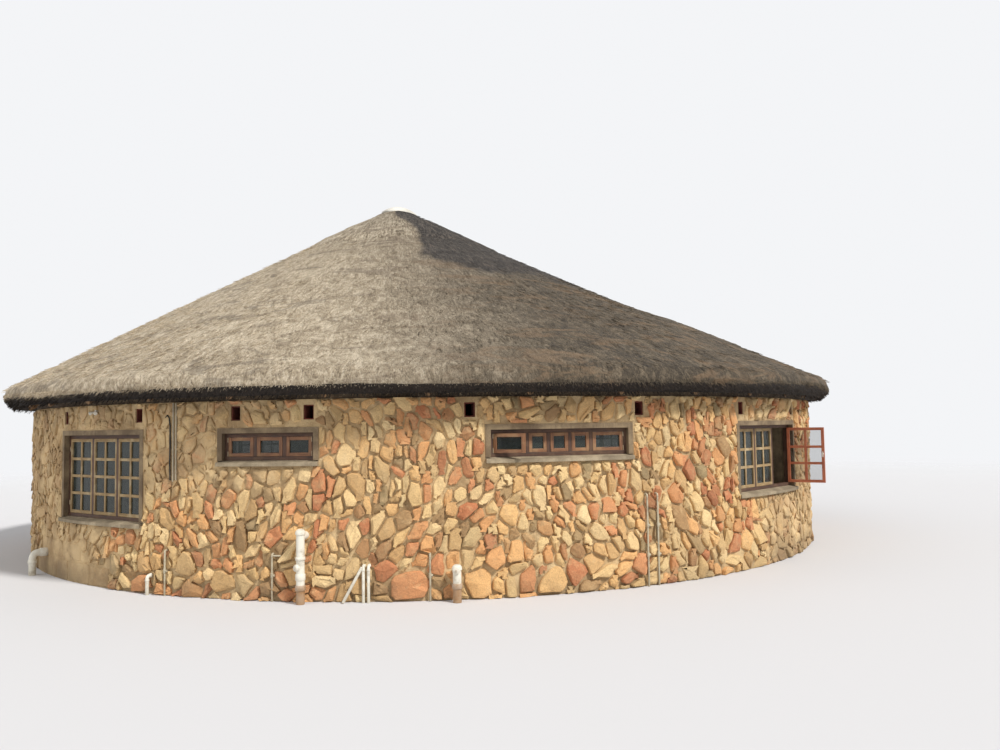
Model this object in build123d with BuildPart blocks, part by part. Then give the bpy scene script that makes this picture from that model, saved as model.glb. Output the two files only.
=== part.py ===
from build123d import *
from math import cos, hypot, pi, radians, sin, sqrt
import os

os.makedirs("parts", exist_ok=True)

# Rondavel hut. Millimetres, +Z up, origin at the centre of the plan on the ground.
# Bearings are degrees round the plan: 0 is the front (-Y), growing towards +X.

# Stone wall
WALL_R = 7490            # outer radius of the round wall
WALL_T = 350             # thickness of the masonry
WALL_H = 2555            # top of the masonry
FLOOR_T = 100            # floor slab inside the wall
FLOOR_GAP = 10           # joint between slab and masonry

# Window and door openings
HEAD_Z = 2130            # underside of every window head
BIG_W, BIG_SILL_Z = 1975, 930        # paned windows
RIGHT_SILL_Z = 1130                  # the paned window at the right is shorter
STRIP_SILL_Z = 1775                  # narrow strips of lights
STRIP_W, LONG_STRIP_W = 1280, 1935
DOOR_W, DOOR_H = 960, 2080
BAND = 70                # cement band round an opening
BAND_PROUD = 8           # band stands out from the stone
SILL_OUT = 55            # sill stands out from the wall
SILL_FALL = 22           # slope of the sill top
SET_BACK = 70            # joinery lies behind the chord of the wall face

BEAR_BIG, BEAR_STRIP, BEAR_LONG, BEAR_RIGHT = -39.98, -16.73, 12.96, 44.68
BEAR_EAST, BEAR_REAR_R, BEAR_DOOR = 92.0, 137.5, 180.0
BEAR_REAR_L, BEAR_WEST = 222.5, 270.0
# Wall bays meet on the solid masonry between openings
BAY_EDGES = [-60, -30, 0, 30, 70, 110, 160, 200, 250, 300]

# Air vents over the windows
VENT_W, VENT_H, VENT_Z = 140, 190, 2390

# Joinery
FRAME_W, FRAME_D = 50, 75            # frame member, face and depth
MULLION_W = 50
STILE_W, SASH_D = 46, 40
BAR_W, BAR_D = 20, 18
GLASS_T = 4
FIT = 2                              # gap round a sash in its frame
LONG_CASEMENT_W = 440                # end casements of the long strip
CASEMENT_OPEN = 40                   # long strip, first light, degrees
SASH_OPEN = 100                      # right window, last sash, degrees

# Roof
ROOF_X, APEX_X = -40, -700           # hand-built roof: its tip leans off centre
EAVE_R = 7950                        # nose of the thatch
NOSE_Z = 2765
SHOULDER_R, SHOULDER_Z = 7840, 2960  # eave rounds over into the slope
EAVE_Z, EAVE_INNER_R = 2600, 7760    # cut underside of the thatch
PEAK_R, PEAK_Z = 350, 6800           # top of the thatch under the cap
SAG = 65                             # slope hangs a little between eave and peak
ROOF_SIDES = 36                      # flats round the thatch, one between each two rafters
CROWN_Z, CROWN_T = 5740, 55          # extra layer laid round the peak
CAP_R, CAP_T, CAP_RISE = 372, 45, 95
RAFTER_D, RAFTER_COUNT, POLE_SIDES = 100, ROOF_SIDES, 10
RAFTER_TAIL_R = 7560                 # pole feet end just outside the wall
SHORT_END_R = 3300                   # every second pole stops here
BATTEN_W, BATTEN_H = 56, 40
BATTEN_FIRST_R, BATTEN_STEP, BATTEN_LAST_R = 7560, 860, 700
PLATE_W, PLATE_H = 140, 100
FILLING_T = 95                       # masonry between the rafter feet
HUB_R, HUB_H = 330, 360
TOUCH = 0.3                          # fitted round pieces lie this far apart
SEAM, SEAM_STEP = 1, 10              # hairline between lengths, blocks and strips; degrees between

# Pipes on the wall: bearing and height where each leaves the masonry
SOIL_D, SOIL_BEAR, SOIL_TOP_Z = 110, -53.2, 340
WASTES = [(-30.4, 250, 50), (-12.65, 880, 110), (-6.82, 450, 40), (-6.33, 450, 40), (2.0, 420, 110)]
RISER_D, RISERS = 27, [(22.25, 1230), (23.56, 1230), (-28.3, 595), (-15.9, 595), (-0.5, 585)]
CONDUIT_D, CONDUIT_STEP, CONDUIT_BEAR, CONDUIT_BOTTOM_Z = 20, 32, -27.4, 1500

SLOPE = (PEAK_Z - SHOULDER_Z) / (SHOULDER_R - PEAK_R)
LEAN = (APEX_X - ROOF_X) / (PEAK_Z - SHOULDER_Z)
LAYER = SHOULDER_Z + SLOPE * (SHOULDER_R - EAVE_INNER_R) - EAVE_Z


def outward(bearing, radius, z=0.0):
    """Point at a radius and height on a bearing."""
    a = radians(bearing)
    return Vector(radius * sin(a), -radius * cos(a), z)


def face_plane(bearing, radius, z=0.0):
    """Upright plane facing out of the wall: x runs along it, y up."""
    a = radians(bearing)
    return Plane(outward(bearing, radius, z), x_dir=(cos(a), sin(a), 0), z_dir=(sin(a), -cos(a), 0))


def chord_radius(width):
    """Distance of the joinery from the centre of the plan, for an opening of this width."""
    return sqrt(WALL_R**2 - (width / 2) ** 2) - SET_BACK


def save(built, name):
    built.part.label = name
    export_step(built.part, f"parts/{name}.step")


def ring_sector(start, end, inner, outer):
    """Adds a sector of a flat ring to the sketch that is being built."""
    a, b = start - 90, end - 90
    mid = radians((a + b) / 2)
    p = [(r * cos(radians(t)), r * sin(radians(t))) for r, t in
         ((inner, a), (outer, a), (outer, b), (inner, b))]
    with BuildLine() as outline:
        Line(p[0], p[1])
        ThreePointArc(p[1], (outer * cos(mid), outer * sin(mid)), p[2])
        Line(p[2], p[3])
        ThreePointArc(p[3], (inner * cos(mid), inner * sin(mid)), p[0])
    make_face(outline.edges())


def seam_parts(low, high, first=0, last=360):
    """Hairline cuts that run outward from a line, at every step of the bearing."""
    cuts = []
    for bearing in range(first, last, SEAM_STEP):
        side = outward(bearing, EAVE_R * 1.1)
        across = side.cross(high - low).normalized() * SEAM
        corners = [low, low + side, high + side, high]
        cuts.append(Solid.extrude(Face(Wire.make_polygon([c - across / 2 for c in corners])), across))
    return cuts


# Openings: kind, bearing, width, sill height
WINDOWS = {
    "front_big": (BEAR_BIG, BIG_W, BIG_SILL_Z),
    "front_strip": (BEAR_STRIP, STRIP_W, STRIP_SILL_Z),
    "front_long": (BEAR_LONG, LONG_STRIP_W, STRIP_SILL_Z),
    "front_right": (BEAR_RIGHT, BIG_W, RIGHT_SILL_Z),
    "east_strip": (BEAR_EAST, STRIP_W, STRIP_SILL_Z),
    "rear_right": (BEAR_REAR_R, BIG_W, BIG_SILL_Z),
    "rear_left": (BEAR_REAR_L, BIG_W, BIG_SILL_Z),
    "west_strip": (BEAR_WEST, STRIP_W, STRIP_SILL_Z),
}
VENTS = [-47.1, -32.6, -20.1, -12.3, 3.5, 21.8, 37.6, 51.8, 88.4, 95.6,
         130.3, 144.7, 215.3, 229.7, 266.4, 273.6]
BAY_NAMES = ["wall_bay_front_left", "wall_bay_front_mid", "wall_bay_front_centre",
             "wall_bay_front_right", "wall_bay_east", "wall_bay_rear_right", "wall_bay_door",
             "wall_bay_rear_left", "wall_bay_west"]


# Stone wall in bays built up in short lengths, each with its window or door and its vents cut through
for name, start, end in zip(BAY_NAMES, BAY_EDGES, BAY_EDGES[1:]):
    with BuildPart() as bay:
        with BuildSketch():
            ring_sector(start, end, WALL_R - WALL_T, WALL_R)
        extrude(amount=WALL_H)
        for bearing, width, sill in WINDOWS.values():
            if start < bearing < end:
                hole_h = HEAD_Z + BAND - (sill - BAND)
                with BuildSketch(face_plane(bearing, WALL_R - WALL_T / 2, sill - BAND + hole_h / 2)):
                    Rectangle(width + 2 * BAND, hole_h)
                extrude(amount=WALL_T, both=True, mode=Mode.SUBTRACT)
        if start < BEAR_DOOR < end:
            with BuildSketch(face_plane(BEAR_DOOR, WALL_R - WALL_T / 2, (DOOR_H + BAND) / 2)):
                Rectangle(DOOR_W + 2 * BAND, DOOR_H + BAND)
            extrude(amount=WALL_T, both=True, mode=Mode.SUBTRACT)
        for bearing in VENTS:
            if start < bearing < end:
                with BuildSketch(face_plane(bearing, WALL_R - WALL_T / 2, VENT_Z)):
                    Rectangle(VENT_W, VENT_H)
                extrude(amount=WALL_T, both=True, mode=Mode.SUBTRACT)
        add(seam_parts(Vector(0, 0, -BAND), Vector(0, 0, WALL_H + BAND), start + SEAM_STEP, end),
            mode=Mode.SUBTRACT)
    save(bay, name)

with BuildPart() as floor_slab:
    with BuildSketch():
        RegularPolygon(WALL_R - WALL_T - FLOOR_GAP, ROOF_SIDES)
    extrude(amount=FLOOR_T)
save(floor_slab, "floor_slab")


# Cement bands round the openings, and the sills that carry the windows
def band_part(bearing, width, bottom, top):
    """Band beside and over one opening, curved with the wall face."""
    with BuildPart() as band:
        with BuildSketch(face_plane(bearing, WALL_R - WALL_T / 2, 0)):
            with Locations((0, (bottom + top + BAND) / 2)):
                Rectangle(width + 2 * BAND, top + BAND - bottom)
            with Locations((0, (bottom + top) / 2)):
                Rectangle(width, top - bottom, mode=Mode.SUBTRACT)
        extrude(amount=WALL_T, both=True)
        with BuildSketch():
            Circle(WALL_R + BAND_PROUD)
            Circle(WALL_R - WALL_T - BAND_PROUD, mode=Mode.SUBTRACT)
        extrude(amount=WALL_H, mode=Mode.INTERSECT)
    return band.part


def sill_part(bearing, width, top):
    """Sill under one window: level under the frame, falling outwards in front of it."""
    inner_r = WALL_R - WALL_T - BAND_PROUD
    frame_front = chord_radius(width)
    with BuildPart() as sill:
        a = radians(bearing)
        section = Plane(outward(bearing, 0, 0), x_dir=(sin(a), -cos(a), 0), z_dir=(-cos(a), -sin(a), 0))
        with BuildSketch(section):
            with BuildLine():
                Polyline((inner_r - BAND, top - BAND), (WALL_R + SILL_OUT + BAND, top - BAND),
                         (WALL_R + SILL_OUT + BAND, top - SILL_FALL * 2), (frame_front, top),
                         (inner_r - BAND, top), close=True)
            make_face()
        extrude(amount=width / 2 + BAND, both=True)
        with BuildSketch():
            Circle(WALL_R + SILL_OUT)
            Circle(inner_r, mode=Mode.SUBTRACT)
        extrude(amount=WALL_H, mode=Mode.INTERSECT)
    return sill.part


FRONT = ["front_big", "front_strip", "front_long", "front_right"]
REAR = ["east_strip", "rear_right", "rear_left", "west_strip"]
for side, keys in (("front", FRONT), ("rear", REAR)):
    pieces = [band_part(*WINDOWS[key], HEAD_Z) for key in keys]
    if side == "rear":
        pieces.append(band_part(BEAR_DOOR, DOOR_W, 0, DOOR_H))
    with BuildPart() as bands:
        add(pieces)
    save(bands, f"cement_bands_{side}")
    pieces = [sill_part(*WINDOWS[key]) for key in keys]
    with BuildPart() as sills:
        add(pieces)
    save(sills, f"cement_sills_{side}")


# Joinery. A window is a row of lights: each has a width, and its panes across and down.
def light_rows(key):
    bearing, width, sill_z = WINDOWS[key]
    inside = width - 2 * FRAME_W
    if key == "front_long":
        fixed = (inside - 4 * MULLION_W - 2 * LONG_CASEMENT_W) / 3
        widths = [LONG_CASEMENT_W, fixed, fixed, fixed, LONG_CASEMENT_W]
    else:
        widths = [(inside - 2 * MULLION_W) / 3] * 3
    columns = 2 if width == BIG_W else 1
    rows = {BIG_SILL_Z: 4, RIGHT_SILL_Z: 3}.get(sill_z, 1)
    lefts, x = [], -width / 2 + FRAME_W
    for w in widths:
        lefts.append(x)
        x += w + MULLION_W
    return [(left, w, columns, rows) for left, w in zip(lefts, widths)]


def frame_part(key):
    """Outer frame with its mullions, one solid."""
    bearing, width, sill_z = WINDOWS[key]
    height = HEAD_Z - sill_z
    with BuildPart() as frame:
        with BuildSketch(face_plane(bearing, chord_radius(width), sill_z + height / 2)):
            Rectangle(width, height)
            for left, w, _, _ in light_rows(key):
                with Locations((left + w / 2, 0)):
                    Rectangle(w, height - 2 * FRAME_W, mode=Mode.SUBTRACT)
        extrude(amount=-FRAME_D)
    return frame.part


def sash_plane(key, left, w, opened=0, hinge_right=False):
    """Plane on a sash's outer face with its hinged edge at x = 0, swung outwards."""
    bearing, width, sill_z = WINDOWS[key]
    base = face_plane(bearing, chord_radius(width), (sill_z + HEAD_Z) / 2)
    hinge_x = left + w - FIT if hinge_right else left + FIT
    turn = radians(-opened if hinge_right else opened)
    return Plane(base.from_local_coords(Vector(hinge_x, 0, 0)),
                 x_dir=base.x_dir * cos(turn) + base.z_dir * sin(turn),
                 z_dir=base.z_dir * cos(turn) - base.x_dir * sin(turn))


def sash_part(key, light, opened=0, hinge_right=False):
    """Sash of stiles, rails and glazing bars. The glass lies behind the bars."""
    left, w, columns, rows = light
    height = HEAD_Z - WINDOWS[key][2] - 2 * FRAME_W
    sw, sh = w - 2 * FIT, height - 2 * FIT
    cx = -sw / 2 if hinge_right else sw / 2
    plane = sash_plane(key, left, w, opened, hinge_right)
    pane_w, pane_h = sw - 2 * STILE_W, sh - 2 * STILE_W
    cell_w = (pane_w - (columns - 1) * BAR_W) / columns
    cell_h = (pane_h - (rows - 1) * BAR_W) / rows
    with BuildPart() as sash:
        with BuildSketch(plane):
            with Locations((cx, 0)):
                Rectangle(sw, sh)
                Rectangle(pane_w, pane_h, mode=Mode.SUBTRACT)
        extrude(amount=-SASH_D)
        if columns * rows > 1:
            with BuildSketch(plane):
                with Locations((cx, 0)):
                    Rectangle(pane_w, pane_h)
                    with GridLocations(cell_w + BAR_W, cell_h + BAR_W, columns, rows):
                        Rectangle(cell_w, cell_h, mode=Mode.SUBTRACT)
            extrude(amount=-BAR_D)
    return sash.part


def glass_part(key, light, opened=0, hinge_right=False):
    left, w, _, _ = light
    height = HEAD_Z - WINDOWS[key][2] - 2 * FRAME_W
    sw, sh = w - 2 * FIT, height - 2 * FIT
    cx = -sw / 2 if hinge_right else sw / 2
    plane = sash_plane(key, left, w, opened, hinge_right).offset(-BAR_D)
    with BuildPart() as pane:
        with BuildSketch(plane):
            with Locations((cx, 0)):
                Rectangle(sw - 2 * STILE_W, sh - 2 * STILE_W)
        extrude(amount=-GLASS_T)
    return pane.part


SWUNG = {("front_long", 0): (CASEMENT_OPEN, False), ("front_right", 2): (SASH_OPEN, True)}

for key in FRONT:
    frame = frame_part(key)
    closed = [sash_part(key, light) for i, light in enumerate(light_rows(key)) if (key, i) not in SWUNG]
    with BuildPart() as window_frame:
        add(frame)
    save(window_frame, f"window_frame_{key}")
    with BuildPart() as window_sashes:
        add(closed)
    save(window_sashes, f"window_sashes_{key}")

rear_frame_pieces = [frame_part(key) for key in REAR]
with BuildPart() as rear_frames:
    add(rear_frame_pieces)
save(rear_frames, "window_frames_rear")
rear_sash_pieces = [sash_part(key, light) for key in REAR for light in light_rows(key)]
with BuildPart() as rear_sashes:
    add(rear_sash_pieces)
save(rear_sashes, "window_sashes_rear")

for (key, i), (opened, hinge_right) in SWUNG.items():
    swung = sash_part(key, light_rows(key)[i], opened, hinge_right)
    with BuildPart() as open_sash:
        add(swung)
    save(open_sash, f"open_sash_{key}")

for side, keys in (("front", FRONT), ("rear", REAR)):
    panes = [glass_part(key, light, *SWUNG.get((key, i), (0, False)))
             for key in keys for i, light in enumerate(light_rows(key))]
    with BuildPart() as glass:
        add(panes)
    save(glass, f"window_glass_{side}")


# Door at the rear: frame, boarded leaf and a cement step
DOOR_PLANE_R = chord_radius(DOOR_W)
LEAF_T, LEDGE_T, LEDGE_H = 32, 22, 130
with BuildPart() as door_frame:
    with BuildSketch(face_plane(BEAR_DOOR, DOOR_PLANE_R, 0)):
        with Locations((0, (FLOOR_T + DOOR_H) / 2)):
            Rectangle(DOOR_W, DOOR_H - FLOOR_T)
        with Locations((0, (FLOOR_T + DOOR_H - FRAME_W) / 2)):
            Rectangle(DOOR_W - 2 * FRAME_W, DOOR_H - FLOOR_T - FRAME_W, mode=Mode.SUBTRACT)
    extrude(amount=-FRAME_D)
save(door_frame, "door_frame")

LEAF_W = DOOR_W - 2 * FRAME_W - 2 * FIT
LEAF_H = DOOR_H - FLOOR_T - FRAME_W - 2 * FIT
LEAF_Z = FLOOR_T + FIT + LEAF_H / 2
with BuildPart() as door_leaf:
    with BuildSketch(face_plane(BEAR_DOOR, DOOR_PLANE_R - FIT, LEAF_Z)):
        Rectangle(LEAF_W, LEAF_H)
    extrude(amount=-LEAF_T)
    with BuildSketch(face_plane(BEAR_DOOR, DOOR_PLANE_R - FIT - LEAF_T, LEAF_Z)):
        with GridLocations(0, LEAF_H * 0.4, 1, 3):
            Rectangle(LEAF_W - 60, LEDGE_H)
    extrude(amount=-LEDGE_T)
save(door_leaf, "door_leaf")

with BuildPart() as door_step:
    with BuildSketch(face_plane(BEAR_DOOR, WALL_R - WALL_T / 2, FLOOR_T / 2)):
        Rectangle(DOOR_W, FLOOR_T)
    extrude(amount=WALL_T, both=True)
    with BuildSketch():
        Circle(WALL_R + SILL_OUT)
        Circle(WALL_R - WALL_T + FIT, mode=Mode.SUBTRACT)
    extrude(amount=WALL_H, mode=Mode.INTERSECT)
save(door_step, "door_step")


# Roof of poles: wall plate, rafters, battens and the hub that they meet on.
# The thatch's underside is a leaning cone, and every pole follows one line of it.
def faceted(rings):
    """Solid with flat facets between outlines that have the same number of corners."""
    faces = [Face(Wire.make_polygon([low[i - 1], low[i], high[i], high[i - 1]]))
             for low, high in zip(rings, rings[1:]) for i in range(len(low))]
    faces += [Face(Wire.make_polygon(ring)) for ring in (rings[0], rings[-1])]
    return Solid(Shell(faces))


def flat_sided(levels, sides=ROOF_SIDES):
    """Round solid with flat facets: height, centre x and radius of each level outline."""
    turns = [2 * pi * i / sides for i in range(sides)]
    return faceted([[Vector(x + r * cos(a), r * sin(a), z) for a in turns] for z, x, r in levels])


def in_strips(whole, low, high):
    """Cuts a shell into strips that run outward from a line, one between each two rafters."""
    strips = []
    for bearing in range(0, 360, SEAM_STEP):
        one, other = [outward(turn, EAVE_R * 1.1) for turn in (bearing, bearing + SEAM_STEP)]
        clear = (one + other).normalized() * (SEAM / 2 / sin(radians(SEAM_STEP / 2)))
        with BuildPart() as strip:
            add(whole)
            add(faceted([[tip + clear, tip + clear + one, tip + clear + other] for tip in (low, high)]),
                mode=Mode.INTERSECT)
        strips.append(strip.part)
    return strips


def under_centre(z):
    """X of the centre of the underside at a height."""
    return ROOF_X + LEAN * (z + LAYER - SHOULDER_Z)


def under_radius(z):
    return EAVE_INNER_R - (z - EAVE_Z) / SLOPE


def under_height(radius):
    return EAVE_Z + (EAVE_INNER_R - radius) * SLOPE


def under_point(bearing, radius, drop=0.0):
    """Point on the underside at its own radius, lowered by drop."""
    z = under_height(radius)
    return outward(bearing, radius, z - drop) + Vector(under_centre(z), 0, 0)


def pole_line(bearing, tail_r, head_r):
    """Ends of a pole's axis, one batten and half a pole under the thatch."""
    run = under_point(bearing, head_r) - under_point(bearing, tail_r)
    level = hypot(run.X, run.Y)
    slant = run.length
    drop = ((BATTEN_W + 4 * TOUCH) * run.Z / slant + RAFTER_D / 2 + TOUCH) * slant / level
    return under_point(bearing, tail_r, drop), under_point(bearing, head_r, drop)


# The poles bear on the outer edge of the plate, which is made of straight lengths
foot, head = pole_line(0, RAFTER_TAIL_R, HUB_R)
POLE_DROP = under_point(0, RAFTER_TAIL_R).Z - foot.Z + RAFTER_D / 2 / sin(
    radians((head - foot).get_angle(Vector(0, 0, 1))))
PLATE_TOP_Z = WALL_H + PLATE_H
plate_centre = under_centre(PLATE_TOP_Z + POLE_DROP)
head_seams = seam_parts(Vector(plate_centre, 0, WALL_H - BAND), Vector(plate_centre, 0, NOSE_Z * 1.2))
with BuildPart() as wall_plate:
    with BuildSketch(Plane.XY.offset(WALL_H)):
        with Locations((plate_centre, 0)):
            outer_r = under_radius(PLATE_TOP_Z + POLE_DROP) - 9.5
            RegularPolygon(outer_r, ROOF_SIDES)
            RegularPolygon(outer_r - PLATE_W, ROOF_SIDES, mode=Mode.SUBTRACT)
    extrude(amount=PLATE_H)
    add(head_seams, mode=Mode.SUBTRACT)
save(wall_plate, "wall_plate")

def pole_part(foot, head, radius, sides=POLE_SIDES):
    """Debarked pole, dressed to many flats."""
    with BuildPart() as pole:
        with BuildSketch(Plane(foot, z_dir=head - foot)):
            RegularPolygon(radius, sides)
        extrude(amount=(head - foot).length)
    return pole.part


poles = []
for i in range(RAFTER_COUNT):
    head_r = SHORT_END_R if i % 2 else HUB_R + RAFTER_D / 2
    poles.append(pole_line(i * 360 / RAFTER_COUNT, RAFTER_TAIL_R, head_r))
pole_solids = [pole_part(foot, head, RAFTER_D / 2) for foot, head in poles]
with BuildPart() as rafters:
    add(pole_solids)
save(rafters, "pole_rafters")

# Battens run straight from rafter to rafter, so each ring has flat sides
def batten_part(radius):
    z = under_height(radius)
    outer, inner = [flat_sided([(h, under_centre(h), under_radius(h) - cut)
                                for h in (z, z + BATTEN_H)], RAFTER_COUNT)
                    for cut in (TOUCH * 2, TOUCH * 2 + BATTEN_W)]
    with BuildPart() as ring:
        add(outer)
        add(inner, mode=Mode.SUBTRACT)
    return ring.part


batten_rings = [batten_part(BATTEN_FIRST_R - i * BATTEN_STEP)
                for i in range(int((BATTEN_FIRST_R - BATTEN_LAST_R) / BATTEN_STEP) + 1)]
with BuildPart() as battens:
    add(batten_rings)
save(battens, "roof_battens")

HUB_TOP_Z = under_height(HUB_R / cos(radians(360 / RAFTER_COUNT))) - TOUCH
with BuildPart() as roof_hub:
    with BuildSketch(Plane.XY.offset(HUB_TOP_Z - HUB_H)):
        with Locations((under_centre(HUB_TOP_Z), 0)):
            RegularPolygon(HUB_R, RAFTER_COUNT // 2, major_radius=False)
    extrude(amount=HUB_H)
save(roof_hub, "roof_hub")

# Masonry filling on the wall head, up to the thatch, with the rafters passing through
under_thatch = flat_sided([(z, under_centre(z), under_radius(z) - TOUCH)
                           for z in (WALL_H - 100, WALL_H + 700)])
pole_holes = [pole_part(foot, foot + (head - foot).normalized() * 600,
                        (RAFTER_D / 2 + TOUCH) / cos(pi / 6), 6) for foot, head in poles]
with BuildPart() as filling:
    with BuildSketch(Plane.XY.offset(WALL_H)):
        RegularPolygon(WALL_R, ROOF_SIDES)
        RegularPolygon(WALL_R - FILLING_T, ROOF_SIDES, mode=Mode.SUBTRACT)
    extrude(amount=600)
    with BuildSketch(Plane.XY.offset(WALL_H)):
        with Locations((plate_centre, 0)):
            RegularPolygon(outer_r + TOUCH, ROOF_SIDES)
    extrude(amount=PLATE_H, mode=Mode.SUBTRACT)
    add(under_thatch, mode=Mode.INTERSECT)
    add(pole_holes + batten_rings[:1] + head_seams, mode=Mode.SUBTRACT)
save(filling, "wall_head_filling")


# Thatch: a thick layer with a cut and rounded eave, hollow like a hat
def slope_level(z, out=0.0):
    """Height, centre and radius of the outer face, with its hang between eave and peak."""
    share = (z - SHOULDER_Z) / (PEAK_Z - SHOULDER_Z)
    hang = SAG * 4 * share * (1 - share)
    centre = ROOF_X + LEAN * (z - SHOULDER_Z) - hang
    return z, centre, SHOULDER_R - (z - SHOULDER_Z) / SLOPE - hang + out


def share_of(low, high, share):
    return low + share * (high - low)


def thatch_axis(z):
    """Point at a height on the leaning line from which the strips of thatch run down."""
    return Vector(ROOF_X + LEAN * (z - SHOULDER_Z), 0, z)


EAVE_CUT_R = EAVE_INNER_R + 40
eave_levels = [(share_of(EAVE_Z, NOSE_Z, k), ROOF_X, share_of(EAVE_R, EAVE_CUT_R, (1 - k)**2))
               for k in (0, 0.35, 0.7, 1)]
eave_levels += [(share_of(NOSE_Z, SHOULDER_Z, k), ROOF_X, share_of(EAVE_R, SHOULDER_R, k**2))
                for k in (0.6, 1)]
slope_levels = [slope_level(share_of(SHOULDER_Z, PEAK_Z, k)) for k in (0.25, 0.5, 0.75, 1)]
thatch_outer = flat_sided(eave_levels + slope_levels)
thatch_hollow = flat_sided([(z, under_centre(z), under_radius(z))
                            for z in (EAVE_Z - 20, under_height(PEAK_R / 3))])
with BuildPart() as thatch_whole:
    add(thatch_outer)
    add(thatch_hollow, mode=Mode.SUBTRACT)
thatch_line = thatch_axis(EAVE_Z - BAND), thatch_axis(PEAK_Z + BAND)
with BuildPart() as thatch:
    add(in_strips(thatch_whole.part, *thatch_line))
save(thatch, "thatch_roof")

CROWN_TOP_Z = PEAK_Z + 30
peak_centre = slope_level(PEAK_Z)[1]
crown_outer = flat_sided([slope_level(CROWN_Z, CROWN_T), slope_level(share_of(CROWN_Z, PEAK_Z, 0.5), CROWN_T),
                          (CROWN_TOP_Z, peak_centre, PEAK_R + CROWN_T - 10)])
with BuildPart() as crown_whole:
    add(crown_outer)
    add(thatch_outer, mode=Mode.SUBTRACT)
with BuildPart() as crown:
    add(in_strips(crown_whole.part, *thatch_line))
save(crown, "thatch_crown")

# Small dome cast over the peak, thinning towards its middle
cap_levels = [(CROWN_TOP_Z, peak_centre, CAP_R)]
for turn in (0, 30, 55, 80):
    rise = CAP_T / 2 + (CAP_RISE - CAP_T / 2) * sin(radians(turn))
    cap_levels.append((CROWN_TOP_Z + rise, peak_centre, CAP_R * cos(radians(turn))))
dome = flat_sided(cap_levels, RAFTER_COUNT)
with BuildPart() as cap:
    add(dome)
save(cap, "peak_cap")


# Pipes fixed to the wall. Each comes out of the masonry and runs down its face.
def pipe_part(bearing, top, bottom, size, stand_off):
    """Pipe that leaves the wall level at the top, turns in an elbow and runs down it."""
    wall = face_plane(bearing, WALL_R, 0)
    turn = size * 0.9
    with BuildPart() as pipe:
        with BuildLine(Plane(wall.origin, x_dir=wall.z_dir, z_dir=-wall.x_dir)) as route:
            Polyline((TOUCH, top), (stand_off - turn, top), (stand_off, top - turn), (stand_off, bottom))
        with BuildSketch(Plane(route.line @ 0, z_dir=route.line % 0)):
            RegularPolygon(size / 2, POLE_SIDES)
        sweep(path=route.line, transition=Transition.RIGHT)
    return pipe.part


soil = pipe_part(SOIL_BEAR, SOIL_TOP_Z, 0, SOIL_D, SOIL_D * 1.9)
with BuildPart() as soil_pipe:
    add(soil)
save(soil_pipe, "soil_pipe")

waste = [pipe_part(bearing, top, 0, size, size * 1.4 + 15) for bearing, top, size in WASTES]
with BuildPart() as waste_pipes:
    add(waste)
save(waste_pipes, "waste_pipes")

risers = [pipe_part(b, top, 0, RISER_D, RISER_D * 1.8) for b, top in RISERS]
with BuildPart() as riser_pipes:
    add(risers)
save(riser_pipes, "water_risers")

# Pair of conduits held against the wall by saddles
CONDUIT_R = WALL_R + CONDUIT_D / 2 + TOUCH
with BuildPart() as conduits:
    for shift in (-1, 1):
        spot = face_plane(CONDUIT_BEAR, CONDUIT_R, CONDUIT_BOTTOM_Z).from_local_coords(
            Vector(shift * CONDUIT_STEP / 2, 0, 0))
        with BuildSketch(Plane(spot, z_dir=(0, 0, 1))):
            RegularPolygon(CONDUIT_D / 2, POLE_SIDES)
        extrude(amount=WALL_H - CONDUIT_BOTTOM_Z - 5)
    for z in (CONDUIT_BOTTOM_Z + 120, (CONDUIT_BOTTOM_Z + WALL_H) / 2, WALL_H - 120):
        with BuildSketch(face_plane(CONDUIT_BEAR, WALL_R + 1, z)):
            Rectangle(CONDUIT_STEP + 2 * CONDUIT_D, CONDUIT_D)
        extrude(amount=CONDUIT_D + 3)
save(conduits, "wall_conduits")
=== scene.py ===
"""Looks of a round stone hut with a thatched roof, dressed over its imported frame."""
import random
from math import asin, atan2, cos, degrees, hypot, pi, radians, sin, sqrt, tan

import bpy
from mathutils import Matrix, Vector, noise


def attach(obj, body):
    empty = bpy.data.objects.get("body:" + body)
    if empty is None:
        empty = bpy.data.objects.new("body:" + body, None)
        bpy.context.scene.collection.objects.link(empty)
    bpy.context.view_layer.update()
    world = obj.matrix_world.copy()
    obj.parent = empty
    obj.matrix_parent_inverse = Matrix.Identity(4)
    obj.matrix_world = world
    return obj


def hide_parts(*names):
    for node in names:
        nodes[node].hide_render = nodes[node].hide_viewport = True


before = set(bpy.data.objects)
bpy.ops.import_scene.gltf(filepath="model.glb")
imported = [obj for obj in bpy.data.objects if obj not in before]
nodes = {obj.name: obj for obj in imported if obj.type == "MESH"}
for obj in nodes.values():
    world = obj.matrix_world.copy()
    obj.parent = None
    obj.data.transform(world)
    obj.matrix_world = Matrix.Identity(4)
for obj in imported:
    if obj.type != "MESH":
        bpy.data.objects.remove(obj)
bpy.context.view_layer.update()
chance = random.Random(7)

# Sizes of the frame, in metres
WALL_R, WALL_H, VENT_Z = 7.49, 2.555, 2.39
HEAD_Z, BAND = 2.13, 0.07
ROOF_X, APEX_X = -0.04, -0.70
EAVE_R, NOSE_Z, EAVE_Z, EAVE_INNER_R = 7.95, 2.765, 2.60, 7.76
SHOULDER_R, SHOULDER_Z, PEAK_R, PEAK_Z, SAG = 7.84, 2.96, 0.35, 6.80, 0.065
CROWN_Z, CROWN_T = 5.74, 0.055
SLOPE = (PEAK_Z - SHOULDER_Z) / (SHOULDER_R - PEAK_R)
LEAN = (APEX_X - ROOF_X) / (PEAK_Z - SHOULDER_Z)
TURN = 2 * pi * WALL_R                 # length of the unrolled wall
UP = Vector((0, 0, 1))
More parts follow.
